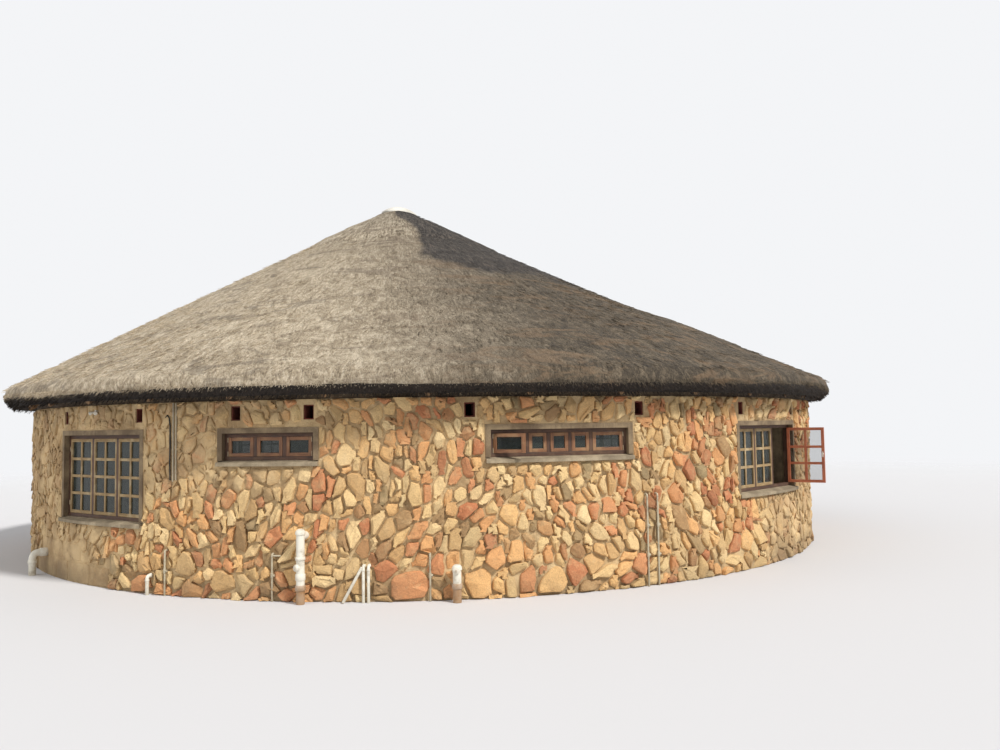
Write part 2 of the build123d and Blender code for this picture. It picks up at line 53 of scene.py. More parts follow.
# Openings: bearing, width, sill height
WINDOWS = {"big": (-39.98, 1.975, 0.93), "strip": (-16.73, 1.28, 1.775), "long": (12.96, 1.935, 1.775),
           "right": (44.68, 1.975, 1.13), "east": (92.0, 1.28, 1.775), "rear_right": (137.5, 1.975, 0.93),
           "rear_left": (222.5, 1.975, 0.93), "west": (270.0, 1.28, 1.775)}
DOOR, DOOR_FOOT = (180.0, 0.96, 2.08), 0.08
VENTS = [-47.1, -32.6, -20.1, -12.3, 3.5, 21.8, 37.6, 51.8, 88.4, 95.6,
         130.3, 144.7, 215.3, 229.7, 266.4, 273.6]
VENT_W, VENT_H = 0.14, 0.19
# Pipes: bearing, height of the elbow, diameter
SOIL = (-53.2, 0.34, 0.11)
WASTES = [(-30.4, 0.25, 0.05), (-12.65, 0.88, 0.11), (-6.82, 0.45, 0.04), (-6.33, 0.45, 0.04), (2.0, 0.42, 0.11)]
SIDE_TAP = (-15.9, 0.595, 0.027)
RISERS = [(22.25, 1.23, 0.027), (23.56, 1.23, 0.027), (-28.3, 0.595, 0.027), SIDE_TAP, (-0.5, 0.585, 0.027)]
CONDUITS = (-27.4, 0.05, 1.5, 0.024)   # bearing, distance apart, foot, diameter
BAYS = {"front_left": -60, "front_mid": -30, "front_centre": 0, "front_right": 30, "east": 70,
        "rear_right": 110, "door": 160, "rear_left": 200, "west": 250}


# ---------------------------------------------------------------- materials
def rgb(red, green, blue):
    """Colour as the eye reads it, 0 to 255, turned into light."""
    return tuple((c / 255 / 12.92 if c < 10 else ((c / 255 + 0.055) / 1.055) ** 2.4)
                 for c in (red, green, blue)) + (1.0,)


class Value:
    """A number in a material, so that sums can be written plainly."""

    def __init__(self, paint, socket):
        self.paint, self.socket = paint, socket

    def sum(self, operation, first, second):
        return self.paint.value("ShaderNodeMath", {"operation": operation}, {0: first, 1: second})

    def __add__(self, other):
        return self.sum("ADD", self, other)

    def __radd__(self, other):
        return self.sum("ADD", other, self)

    def __sub__(self, other):
        return self.sum("SUBTRACT", self, other)

    def __rsub__(self, other):
        return self.sum("SUBTRACT", other, self)

    def __mul__(self, other):
        return self.sum("MULTIPLY", self, other)

    def __rmul__(self, other):
        return self.sum("MULTIPLY", other, self)

    def above(self, low, high):
        """0 below low, 1 above high, smooth between."""
        return self.paint.value("ShaderNodeMapRange", {"interpolation_type": "SMOOTHSTEP"},
                                {0: self, 1: low, 2: high, 3: 0.0, 4: 1.0})


class Paint:
    """A material and the nodes that it is built from; colours are given as the eye reads them."""

    def __init__(self, name, roughness=0.8, metallic=0.0):
        self.material = bpy.data.materials.new(name)
        self.material.use_nodes = True
        self.tree = self.material.node_tree
        self.shader = self.tree.nodes["Principled BSDF"]
        self.shader.inputs["Roughness"].default_value = roughness
        self.shader.inputs["Metallic"].default_value = metallic
        self.place = self.node("ShaderNodeTexCoord").outputs["Object"]

    def node(self, kind, settings=(), inputs=()):
        made = self.tree.nodes.new(kind)
        for key, setting in dict(settings).items():
            if key == "stops":
                ramp = made.color_ramp
                while len(ramp.elements) < len(setting):
                    ramp.elements.new(0.5)
                for element, (position, colour) in zip(ramp.elements, setting):
                    element.position, element.color = position, rgb(*colour)
            else:
                setattr(made, key, setting)
        for key, given in dict(inputs).items():
            self.feed(made.inputs[key], given)
        return made

    def feed(self, socket, given):
        if isinstance(given, (Value, bpy.types.NodeSocket)):
            self.tree.links.new(getattr(given, "socket", given), socket)
        else:
            socket.default_value = rgb(*given) if socket.type == "RGBA" else given

    def value(self, kind, settings=(), inputs=(), output=0):
        return Value(self, self.node(kind, settings, inputs).outputs[output])

    def stretched(self, x, y, z, place=None, turn=(0.0, 0.0, 0.0)):
        return self.node("ShaderNodeMapping", {}, {"Vector": place or self.place, "Rotation": turn,
                                                   "Scale": (x, y, z)}).outputs[0]

    def noise(self, scale, detail=3.0, roughness=0.55, place=None, distortion=0.0):
        return self.value("ShaderNodeTexNoise", {}, {"Vector": place or self.place, "Scale": scale,
                          "Detail": detail, "Roughness": roughness, "Distortion": distortion})

    def cells(self, scale, place=None):
        return self.value("ShaderNodeTexVoronoi", {}, {"Vector": place or self.place, "Scale": scale}, "Distance")

    def own(self, name):
        return self.value("ShaderNodeAttribute", {"attribute_name": name}, output="Fac")

    def axis(self, letter):
        return self.value("ShaderNodeSeparateXYZ", {}, {0: self.place}, "XYZ".index(letter))

    def reach(self):
        """Distance from the upright line through the middle."""
        flat = self.node("ShaderNodeVectorMath", {"operation": "MULTIPLY"}, {0: self.place, 1: (1.0, 1.0, 0.0)})
        return self.value("ShaderNodeVectorMath", {"operation": "LENGTH"}, {0: flat.outputs[0]}, "Value")

    def ramp(self, factor, *stops):
        return self.node("ShaderNodeValToRGB", {"stops": stops}, {0: factor}).outputs[0]

    def blend(self, factor, under, over, way="MIX"):
        return self.node("ShaderNodeMix", {"data_type": "RGBA", "blend_type": way},
                         {0: factor, 6: under, 7: over}).outputs[2]

    def set(self, **given):
        """Feeds sockets of the shader: Base_Color, Roughness or Alpha."""
        for name, what in given.items():
            self.feed(self.shader.inputs[name.replace("_", " ")], what)
        return self

    def relief(self, height, depth, strength=1.0):
        bump = self.node("ShaderNodeBump", {}, {"Height": height, "Distance": depth, "Strength": strength})
        self.feed(self.shader.inputs["Normal"], bump.outputs[0])
        return self


def stone_paint():
    paint = Paint("rubble stone", 0.85)
    stone = paint.ramp(paint.own("tone"), (0.0, (238, 210, 156)), (0.15, (222, 186, 130)), (0.3, (244, 216, 164)),
                       (0.42, (206, 170, 118)), (0.54, (234, 190, 130)), (0.66, (224, 168, 112)),
                       (0.78, (214, 150, 104)), (0.87, (196, 126, 86)), (0.93, (180, 142, 98)),
                       (1.0, (164, 144, 106)))
    veins = paint.noise(6.0, 5.0, 0.65, distortion=0.6)
    grain = paint.noise(60.0, 3.0)
    stone = paint.blend(veins.above(0.48, 0.74) * 0.5, stone, (222, 190, 142))
    stone = paint.blend(paint.noise(13.0, 4.0).above(0.54, 0.76) * 0.4, stone, (148, 114, 82))
    stone = paint.blend(0.5, stone, paint.ramp(grain, (0.3, (176, 168, 158)), (0.7, (255, 251, 244))), "MULTIPLY")
    stone = paint.blend(paint.own("shade") * 0.45, stone, (104, 86, 66))
    smear = (paint.own("wash") * 0.9 + paint.noise(5.0, 4.0, 0.65) * 0.9).above(0.62, 1.0)
    stone = paint.blend(smear * 0.85, stone, mortar_colour(paint))
    damp = (1 - paint.axis("Z").above(0.05, 0.5)) * paint.noise(1.3, 3.0).above(0.4, 0.7)
    paint.set(Base_Color=paint.blend(damp * 0.5, stone, (108, 92, 70)), Roughness=0.75 + grain * 0.2)
    return paint.relief(veins * 0.6 + grain * 0.2 + paint.noise(20.0, 5.0, 0.65) * 0.7, 0.02)


def mortar_colour(paint, pale=(216, 188, 142), dark=(164, 136, 98)):
    broad, fine = paint.noise(2.1, 5.0, 0.6), paint.noise(34.0, 4.0, 0.7)
    base = paint.blend(broad.above(0.35, 0.68), dark, pale)
    base = paint.blend(fine.above(0.5, 0.8) * 0.5, base, (220, 198, 160))
    base = paint.blend(paint.noise(9.0, 3.0).above(0.58, 0.72) * 0.45, base, (120, 98, 72))
    foot = 1 - paint.axis("Z").above(0.0, 0.4)
    return paint.blend(foot * 0.4, base, (112, 96, 74))


def mortar_paint(name="lime mortar", **tones):
    paint = Paint(name, 0.92)
    paint.set(Base_Color=mortar_colour(paint, **tones))
    return paint.relief(paint.noise(34.0, 4.0, 0.7) * 0.4 + paint.noise(9.0, 5.0, 0.65), 0.03)


def cement_paint(name, pale, dark, streak):
    paint = Paint(name, 0.88)
    broad, fine = paint.noise(3.4, 5.0, 0.6), paint.noise(70.0, 3.0)
    runs = paint.noise(1.0, 4.0, 0.6, paint.stretched(16, 16, 1.6))
    base = paint.blend(broad.above(0.35, 0.7), dark, pale)
    base = paint.blend(runs.above(0.5, 0.75) * 0.45, base, streak)
    paint.set(Base_Color=paint.blend(0.35, base, paint.ramp(fine, (0.3, (150, 146, 140)), (0.7, (245, 242, 236))),
                                     "MULTIPLY"))
    return paint.relief(fine * 0.4 + broad * 0.5 + paint.noise(18.0, 3.0) * 0.4, 0.006, 0.7)


def wood_paint(name, pale, dark, worn, gloss=0.5, wear=0.4):
    paint = Paint(name, gloss)
    upright = paint.noise(1.0, 5.0, 0.6, paint.stretched(70, 70, 5), 0.4)
    level = paint.noise(1.0, 5.0, 0.6, paint.stretched(5, 5, 80), 0.3)
    turned = paint.own("level")
    grain = upright * (1 - turned) + level * turned
    weather = paint.noise(5.0, 4.0, 0.6).above(0.48, 0.66) * wear
    paint.set(Base_Color=paint.blend(weather, paint.ramp(grain, (0.32, dark), (0.62, pale)), worn),
              Roughness=gloss + weather * 0.25 + grain * 0.1)
    return paint.relief(grain, 0.0015, 0.8)


def pole_paint(name, pale, dark):
    paint = Paint(name, 0.75)
    knots = paint.cells(5.0).above(0.0, 0.16)
    streaks = paint.noise(14.0, 5.0, 0.65, distortion=1.2)
    paint.set(Base_Color=paint.blend(1 - knots, paint.ramp(streaks, (0.3, dark), (0.65, pale)), (52, 36, 24)))
    return paint.relief(streaks + knots * 0.3, 0.004, 0.7)


def thatch_paint(name="thatch", spread=1.0):
    """Straw, paler on the left and greyer towards the right and lower down, with painted shade below the peak and
    under the eave.
    """
    paint = Paint(name, 0.95)
    strand = paint.node("ShaderNodeAttribute", {"attribute_name": "strand"}).outputs["Vector"]

    def straws(detail, roughness, across, down, swirl=0.0):
        return paint.noise(1.0, detail, roughness, paint.stretched(across, across, down, strand), swirl)

    straw, fine = straws(5.0, 0.7, 24, 11), straws(4.0, 0.8, 60, 40)
    tuft, clump = straws(4.0, 0.75, 11, 7.5, 0.7), straws(4.0, 0.7, 3.6, 2.4, 0.9)
    specks = paint.cells(1.0, paint.stretched(26, 26, 20, strand))
    streak = paint.noise(1.0, 5.0, 0.7, paint.stretched(0.9, 1.8, 3.4, turn=(0.0, 0.62, 0.0)), 0.9)
    low = (4.4 - paint.axis("Z")) * 0.5
    side = (paint.axis("X") + paint.noise(0.32, 3.0) * 2.4 - 1.2 + 0.3 * paint.axis("Y") + low).above(-3.7, 0.7)
    stipple = (straw * 0.2 + fine * 0.26 + tuft * 0.31 + clump * 0.25 - 0.51) * spread + 0.5
    pale = paint.ramp(stipple, (0.4, (118, 103, 82)), (0.5, (184, 168, 143)), (0.58, (226, 212, 188)))
    grey = paint.ramp(stipple, (0.4, (40, 34, 27)), (0.5, (84, 74, 60)), (0.59, (128, 114, 94)))
    # Painted shade for the patch below the peak on the right.
    shade_patch_colour = paint.ramp(stipple, (0.42, (25, 22, 21)), (0.5, (56, 51, 47)), (0.57, (97, 88, 80)))
    shade_patch_colour = paint.blend(clump.above(0.62, 0.7) * 0.35, shade_patch_colour, (132, 110, 98))
    # Cut underside of the eave: dark cut stem ends, with painted shade under the eave on top.
    ragged = (paint.own("cut") + fine * 0.5 - 0.25).above(0.4, 0.6)
    base = paint.blend(side, pale, grey)
    for share, colour in ((streak.above(0.54, 0.63) * 0.5 * (1 - side * 0.6), (104, 94, 82)),
                          ((1 - streak.above(0.34, 0.44)) * 0.3 * (1 - side), (230, 216, 190)),
                          (streak.above(0.5, 0.64) * side * 0.5, (140, 114, 86)),
                          ((1 - specks.above(0.0, 0.4)) * 0.55, (58, 50, 41)),
                          (ragged, paint.ramp(fine, (0.35, (24, 20, 18)), (0.65, (60, 50, 42)))),
                          (paint.own("dark") * 0.95, shade_patch_colour)):
        base = paint.blend(share, base, colour)
    paint.set(Base_Color=base)
    return paint.relief(straw * 0.3 + fine * 0.45 + tuft * 1.2 + clump * 1.2 - specks * 0.2, 0.05)


def plain_paint(name, colour, dirt, roughness=0.5, metallic=0.0):
    paint = Paint(name, roughness, metallic)
    grime = paint.noise(9.0, 5.0, 0.65)
    base = paint.blend(grime.above(0.45, 0.75) * 0.7, colour, dirt)
    base = paint.blend((1 - paint.axis("Z").above(0.0, 0.3)) * 0.4, base, dirt)
    paint.set(Base_Color=paint.blend(paint.own("soiled") * (0.55 + grime * 0.6), base, (148, 108, 66)),
              Roughness=roughness + grime * 0.25)
    return paint.relief(paint.noise(45.0, 3.0), 0.001, 0.5)


def glass_paint():
    """Dusty glass tinted dark with painted shade of the room behind, clearer in sashes that swing out past the
    wall's face.
    """
    paint = Paint("window glass", 0.08)
    film = paint.noise(6.0, 4.0)
    return paint.set(Base_Color=paint.blend(film, (30, 36, 34), (70, 76, 70)),
                     Alpha=0.62 - 0.4 * paint.reach().above(7.4, 7.48), Roughness=0.05 + film * 0.2)


stone = stone_paint()
mortar = mortar_paint()
# Mortar at the wall's head, darkened with painted shade under the eave.
eave_shade_mortar = mortar_paint("filling mortar in painted shade", pale=(96, 82, 64), dark=(60, 50, 40))
band_cement = cement_paint("band cement", (160, 140, 110), (116, 98, 76), (84, 70, 56))
sill_cement = cement_paint("sill cement", (190, 174, 146), (140, 126, 104), (98, 88, 74))
floor_cement = cement_paint("floor cement", (150, 145, 135), (112, 106, 98), (90, 84, 78))
cap_cement = cement_paint("cap cement", (236, 234, 226), (206, 202, 192), (160, 152, 138))
clay = cement_paint("vent clay", (128, 62, 46), (86, 40, 32), (60, 34, 28))
frame_wood = wood_paint("frame wood", (92, 62, 44), (50, 33, 25), (116, 92, 70))
sash_wood = wood_paint("sash wood", (146, 102, 68), (96, 62, 42), (166, 134, 98), wear=0.5)
weathered_wood = wood_paint("weathered sash wood", (172, 146, 104), (118, 92, 62), (190, 172, 138), 0.75, 0.7)
varnished_wood = wood_paint("varnished sash wood", (182, 100, 62), (134, 66, 42), (190, 130, 92), 0.35, 0.3)
door_wood = wood_paint("door wood", (128, 84, 54), (76, 46, 30), (144, 112, 82))
pole_wood = pole_paint("pole wood", (150, 118, 82), (96, 70, 46))
batten_wood = pole_paint("batten wood", (168, 136, 96), (112, 84, 56))
thatch = thatch_paint()
crown_thatch = thatch_paint("crown thatch", 2.2)
pipe_white = plain_paint("white pipe", (226, 222, 208), (150, 138, 114), 0.4)
pipe_steel = plain_paint("galvanised pipe", (186, 176, 152), (122, 104, 80), metallic=0.25)
pipe_grey = plain_paint("grey conduit", (178, 166, 142), (120, 106, 86))
cable_black = plain_paint("black cable", (30, 28, 27), (58, 50, 42))
glass = glass_paint()

FINISHES = {
    mortar: " ".join("wall_bay_" + bay for bay in BAYS),
    eave_shade_mortar: "wall_head_filling",
    floor_cement: "floor_slab door_step",
    band_cement: "cement_bands_front cement_bands_rear",
    sill_cement: "cement_sills_front cement_sills_rear",
    cap_cement: "peak_cap",
    frame_wood: "window_frame_front_big window_frame_front_strip window_frame_front_long "
                "window_frame_front_right window_frames_rear door_frame",
    sash_wood: "window_sashes_front_strip window_sashes_front_long window_sashes_rear open_sash_front_long",
    weathered_wood: "window_sashes_front_big window_sashes_front_right",
    varnished_wood: "open_sash_front_right",
    door_wood: "door_leaf",
    glass: "window_glass_front window_glass_rear",
    pole_wood: "wall_plate pole_rafters roof_hub",
    batten_wood: "roof_battens",
    thatch: "thatch_roof",
    crown_thatch: "thatch_crown",
    pipe_white: "soil_pipe waste_pipes",
    pipe_steel: "water_risers",
    pipe_grey: "wall_conduits",
}
for paint, names in FINISHES.items():
    for name in names.split():
        for slot in nodes[name].material_slots:
            slot.material = paint.material


# ---------------------------------------------------------------- shared modelling
def alone(piece):
    bpy.ops.object.select_all(action="DESELECT")
    piece.select_set(True)
    bpy.context.view_layer.objects.active = piece


def edited(piece, *steps):
    """Runs mesh steps, each an operator and its settings, on all of a piece."""
    alone(piece)
    bpy.ops.object.mode_set(mode="EDIT")
    bpy.ops.mesh.select_mode(type="FACE")
    bpy.ops.mesh.select_all(action="SELECT")
    for step, settings in steps:
        step(**settings)
    bpy.ops.object.mode_set(mode="OBJECT")


OUTWARD = (bpy.ops.mesh.normals_make_consistent, {"inside": False})


def piece_from(name, corners, faces, paint):
    """A new piece from its corners and faces, riding on the hut."""
    mesh = bpy.data.meshes.new(name)
    mesh.from_pydata([tuple(c) for c in corners], [], faces)
    mesh.materials.append(paint.material)
    piece = bpy.data.objects.new(name, mesh)
    bpy.context.collection.objects.link(piece)
    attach(piece, "root")
    return piece


def smooth(piece, angle):
    alone(piece)
    bpy.ops.object.shade_smooth_by_angle(angle=radians(angle))


def outward(bearing, radius, z=0.0):
    """The point at a bearing from the front, a distance from the middle and a height."""
    a = radians(bearing)
    return Vector((radius * sin(a), -radius * cos(a), z))


def facing(bearing):
    """Directions along the wall and out of it."""
    a = radians(bearing)
    return Vector((cos(a), sin(a), 0)), Vector((sin(a), -cos(a), 0))


def mark(piece, name, values, kind="FLOAT", domain="POINT"):
    """Keeps a number or a vector at each corner or face of a piece, for its material."""
    made = piece.data.attributes.new(name, kind, domain)
    made.data.foreach_set("vector" if kind == "FLOAT_VECTOR" else "value", values)


def steady(value, low, high):
    """0 below low, 1 above high, smooth between."""
    share = max(0.0, min(1.0, (value - low) / (high - low)))
    return share * share * (3 - 2 * share)


# ---------------------------------------------------------------- rubble stones
def blocked_spots():
    """Rectangles on the unrolled wall that stones keep clear of: left, right, bottom, top."""
    spots, gap, vent_gap = [], BAND + 0.012, 0.02
    for bearing, width, sill in WINDOWS.values():
        half, at = WALL_R * asin((width / 2 + BAND) / WALL_R) + 0.012, WALL_R * radians(bearing)
        spots.append((at - half, at + half, sill - gap, HEAD_Z + gap))
    half, at = WALL_R * asin((DOOR[1] / 2 + BAND) / WALL_R) + 0.012, WALL_R * radians(DOOR[0])
    spots.append((at - half, at + half, -1.0, DOOR[2] + gap))
    for bearing in VENTS:
        at = WALL_R * radians(bearing)
        spots.append((at - VENT_W / 2 - vent_gap, at + VENT_W / 2 + vent_gap,
                      VENT_Z - VENT_H / 2 - vent_gap, VENT_Z + VENT_H / 2 + vent_gap))
    return spots + [(a - TURN, b - TURN, c, d) for a, b, c, d in spots if b > TURN / 2]


def clipped(outline, nx, nz, reach):
    """The part of a convex outline where nx*s + nz*z is at most reach."""
    kept = []
    for one, other in zip(outline, outline[1:] + outline[:1]):
        here, there = nx * one[0] + nz * one[1] - reach, nx * other[0] + nz * other[1] - reach
        if here <= 0:
            kept.append(one)
        if here * there < 0:
            kept.append(between(one, other, here / (here - there)))
    return kept


def between(one, other, share):
    """The point that lies a share of the way from one to the other."""
    return one[0] + share * (other[0] - one[0]), one[1] + share * (other[1] - one[1])


def area(outline):
    return abs(sum(a[0] * b[1] - b[0] * a[1] for a, b in zip(outline, outline[1:] + outline[:1]))) / 2


def middle(outline):
    return sum(p[0] for p in outline) / len(outline), sum(p[1] for p in outline) / len(outline)


def ends(outline):
    """Left, right, bottom and top of an outline."""
    across, up = zip(*outline)
    return min(across), max(across), min(up), max(up)


SPOTS = blocked_spots()
# Single large stones near the foot of the wall: bearing, height, size
BOULDERS = [(-2.4, 0.17, 0.25), (4.2, 0.2, 0.2), (11.6, 0.17, 0.2), (66.0, 0.2, 0.25),
            (108.0, 0.16, 0.26), (151.0, 0.2, 0.24), (203.0, 0.17, 0.25), (246.0, 0.18, 0.24), (284.0, 0.2, 0.25)]
BOULDER_AREA, BOULDER_TONE, BLOCK_TONE = 0.14, 0.76, 0.96
# Squared blocks laid as a footing: bearing of the left end, lengths, bottom, top
FOOTINGS = [(-58.0, (0.5, 0.62, 0.44, 0.66, 0.5), 0.0, 0.3), (-55.5, (0.56, 0.48, 0.6), 0.31, 0.56),
            (118.0, (0.6, 0.48, 0.66), 0.0, 0.3), (-128.0, (0.5, 0.64, 0.46), 0.0, 0.28)]
STONE_SIZES, STONE_TRIES, LOW_STONES_Z = (0.055, 0.07, 0.085, 0.1, 0.125), 32000, 0.5
JOINT, WALL_JOINT, SMALLEST_STONE = (0.004, 0.014), 0.004, 0.006    # gaps at a stone, at the wall's edge; area
# How far stones may stand out: anywhere, behind a pipe, beside an opening, where something is fixed
PROUD, PROUD_BEHIND_PIPE, PROUD_AT_OPENING, PROUD_AT_FIXING = 0.075, 0.03, 0.012, 0.0005


def lie(s, z):
    """How a stone lies: the measure that is short along its length and long across it."""
    way = pi / 2 + 1.1 * noise.noise((s * 0.6, z * 0.6, 2.0)) + chance.uniform(-0.75, 0.75)
    if z < LOW_STONES_Z:
        way += pi / 2 * (chance.random() < 0.55)
    long = chance.uniform(1.3, 2.5)
    c, t = cos(way), sin(way)
    return c * c / long + t * t * long, c * t * (1 / long - long), t * t / long + c * c * long


def stone_outlines():
    """Irregular stones that fill the unrolled wall, larger towards its foot."""
    cell = 0.4
    columns = int(TURN / cell)
    grid, centres = {}, []

    def spot(s, z):
        return int((s + TURN / 2) / cell), int((z + 1) / cell)

    def lay(s, z, size, measure):
        column, row = spot(s, z)
        grid.setdefault((column % columns, row), []).append(len(centres))
        centres.append((s, z, size) + measure)

    def around(s, z):
        column, row = spot(s, z)
        for i in range(-2, 3):
            for k in range(-2, 3):
                for found in grid.get(((column + i) % columns, row + k), ()):
                    yield found, centres[found]

    def apart(s, z, measure, other):
        ds, dz = (other[0] - s + TURN / 2) % TURN - TURN / 2, other[1] - z
        a, b, c = ((one + two) / 2 for one, two in zip(measure, other[3:]))
        return ds, dz, a * ds + b * dz, b * ds + c * dz

    for bearing, z, size in BOULDERS:
        lay(WALL_R * radians(bearing), z, size, (0.8, 0.0, 1.25))
    for _ in range(STONE_TRIES):
        s, z = chance.uniform(-TURN / 2, TURN / 2), chance.uniform(-0.05, WALL_H + 0.05)
        size = chance.choice(STONE_SIZES) * (1.3 if z < LOW_STONES_Z else 1.0)
        measure = lie(s, z)
        for _, other in around(s, z):
            ds, dz, ns, nz = apart(s, z, measure, other)
            if ds * ns + dz * nz < ((size + other[2]) * 0.84) ** 2:
                break
        else:
            lay(s, z, size, measure)
    spots = SPOTS + [footing_spot(footing) for footing in FOOTINGS]
    outlines = []
    for i, (s, z, size, *measure) in enumerate(centres):
        outline = [(s - 0.5, z - 0.5), (s + 0.5, z - 0.5), (s + 0.5, z + 0.5), (s - 0.5, z + 0.5)]
        joint = chance.uniform(*JOINT)
        for j, other in around(s, z):
            if j == i:
                continue
            ds, dz, ns, nz = apart(s, z, measure, other)
            span, steep = ds * ns + dz * nz, hypot(ns, nz)
            share = (span + (size * size - other[2] * other[2]) * 1.2) / 2 / span
            reach = (ns * (s + ds * share) + nz * (z + dz * share)) / steep - joint
            outline = clipped(outline, ns / steep, nz / steep, reach)
            if len(outline) < 3:
                break
        outline = clipped(outline, 0, -1, -WALL_JOINT)
        outline = clipped(outline, 0, 1, WALL_H - WALL_JOINT) if len(outline) > 2 else outline
        for left, right, bottom, top in spots:
            if len(outline) < 3 or s + 0.5 < left or s - 0.5 > right:
                continue
            low, high, under, over = ends(outline)
            if high > left and low < right and over > bottom and under < top:
                choices = [clipped(outline, 1, 0, left), clipped(outline, -1, 0, -right),
                           clipped(outline, 0, 1, bottom), clipped(outline, 0, -1, -top)]
                outline = max((c for c in choices if len(c) > 2), key=area, default=[])
        if len(outline) > 2 and area(outline) > SMALLEST_STONE:
            outlines.append((worn(outline, chance.uniform(0.78, 1.0)), False))
    return outlines + footing_blocks()


def footing_spot(footing):
    bearing, lengths, bottom, top = footing
    at = WALL_R * radians(bearing)
    return at - 0.01, at + sum(lengths) + 0.01, bottom - 0.1, top + 0.01


def footing_blocks():
    """Squared blocks in short courses at the foot of the wall."""
    blocks = []
    for bearing, lengths, bottom, top in FOOTINGS:
        at = WALL_R * radians(bearing)
        for length in lengths:
            low, high = max(0.004, bottom + chance.uniform(0.0, 0.02)), top - chance.uniform(0.008, 0.03)
            left, right = at + 0.008, at + length - 0.008
            blocks.append((worn([(left, low), (right, low), (right, high), (left, high)], 1.0), True))
            at += length
    return blocks


def worn(outline, squeeze):
    """Corners knocked off and edges made uneven, and drawn in a little one way."""
    cx, cz = middle(outline)
    way = chance.uniform(0, pi)
    drawn, cut = [], []
    for s, z in outline:
        along = (s - cx) * cos(way) + (z - cz) * sin(way)
        drawn.append((s - along * (1 - squeeze) * cos(way), z - along * (1 - squeeze) * sin(way)))
    for one, other in zip(drawn, drawn[1:] + drawn[:1]):
        length = hypot(one[0] - other[0], one[1] - other[1])
        if length < 0.012:
            cut.append(((one[0] + other[0]) / 2, (one[1] + other[1]) / 2))
            continue
        for share in (0.07, 0.5, 0.93) if length > 0.11 else (0.1, 0.9):
            s, z = between(one, other, share)
            cut.append((s + noise.noise((s * 11, z * 11, 3.0)) * 0.018,
                        z + noise.noise((s * 11, z * 11, 9.0)) * 0.018))
    return cut


def coat(s, z):
    """How far mortar is smeared over the stones: much at the left of the front, in drifts elsewhere."""
    bearing = degrees(s / WALL_R) % 360
    left = steady(bearing, 280, 288) * (1 - steady(bearing, 316, 330))
    centre = steady(bearing, 316, 330) * (1 - steady(bearing, 340, 352)) * steady(z, 0.9, 1.4)
    right = steady(bearing, 36, 46) * (1 - steady(bearing, 74, 84)) * (1 - steady(z, 1.2, 1.9))
    drift = 0.5 + 0.9 * noise.noise((s * 0.25, z * 0.5, 7.0))
    elsewhere = 0.45 * drift * (1 - left) * (1 - right) * steady(z, 0.9, 2.1)
    return max(0.0, min(1.0, 0.72 * left + 0.3 * centre + 0.6 * right + elsewhere))


def room_for(s, z):
    """How far a stone may stand out: less behind the pipes and beside the openings."""
    limit, near = PROUD, 0.03
    for bearing, top, size in [SOIL] + WASTES + RISERS:
        if abs(s - WALL_R * radians(bearing)) < size / 2 + near:
            limit = PROUD_AT_FIXING if abs(z - top) < size / 2 + near else PROUD_BEHIND_PIPE
    if abs(s - WALL_R * radians(CONDUITS[0])) < 0.075 and z > CONDUITS[2] - 0.05:
        limit = PROUD_AT_FIXING
    for low, high, bottom, top in SPOTS:
        if low - near < s < high + near and bottom - near < z < top + near:
            limit = min(limit, PROUD_AT_OPENING)
    return limit


def traits_of(outline, squared):
    """What all corners of one stone share."""
    size, washed = area(outline), coat(*middle(outline))
    steep = 0.0 if squared else 1.0 - 0.6 * washed
    big = min(1.0, size / 0.06)
    proud = (0.01 if squared else chance.uniform(0.02, 0.052) + 0.014 * big) * (1.0 - 0.55 * washed)
    hip = 0.0 if squared else chance.uniform(-0.004, 0.03) * (1.0 - 0.5 * washed)
    tilt = chance.uniform(-0.3, 0.3) * steep, chance.uniform(-0.34, 0.2) * steep
    tone = BLOCK_TONE if squared else chance.random()
    if size > BOULDER_AREA and not squared:
        tone = BOULDER_TONE
    marks = tone, max(0.0, chance.random() - 0.62) * 1.6, washed
    return middle(outline), ends(outline), proud, hip, sqrt(size / pi), tilt, marks


def stones_of(bay, outlines):
    """Stones of one bay: flat outlines, inset and raised in steps, then bent round the wall."""
    corners, faces = [], []
    for outline, _ in outlines:
        faces.append(list(range(len(corners), len(corners) + len(outline))))
        corners += [(s, 0.0, z) for s, z in outline]
    piece = piece_from("stones_" + bay, corners, faces, stone)
    mark(piece, "number", list(range(len(faces))), "INT", "FACE")
    edited(piece, *[(bpy.ops.mesh.inset, {"thickness": thickness, "depth": depth, "use_individual": True})
                    for thickness, depth in ((0.004, 0.72), (0.01, 0.2), (0.024, 0.08))], (bpy.ops.mesh.poke, {}))
    mesh = piece.data
    number = [0] * len(mesh.polygons)
    mesh.attributes["number"].data.foreach_get("value", number)
    owner = {corner: which for face, which in zip(mesh.polygons, number) for corner in face.vertices}
    traits = [traits_of(*outline) for outline in outlines]
    marks = []
    for vertex in mesh.vertices:
        (cx, cz), (left, right, under, over), proud, hip, wide, tilt, shared = traits[owner[vertex.index]]
        marks.append(shared)
        s, out = min(max(vertex.co.x, left), right), min(abs(vertex.co.y), 1.0)
        z = min(max(vertex.co.z, under, 0.002), over)
        rough = (noise.noise((s * 8, z * 8, 5.0)) * 0.014 + noise.noise((s * 17, z * 17, 2.0)) * 0.012
                 + noise.noise((s * 38, z * 38, 1.0)) * 0.005)
        crest = hip * max(0.0, 1 - hypot(s - cx, z - cz) / wide)
        lift = out * max(0.002, proud + crest + (s - cx) * tilt[0] + (z - cz) * tilt[1] + rough) - 0.006 * (1 - out)
        lift = min(lift, room_for(s, z))
        a = s / WALL_R
        vertex.co = ((WALL_R + lift) * sin(a), -(WALL_R + lift) * cos(a), z)
    for name, values in zip(("tone", "shade", "wash"), zip(*marks)):
        mark(piece, name, values)
    edited(piece, OUTWARD)
    smooth(piece, 18)


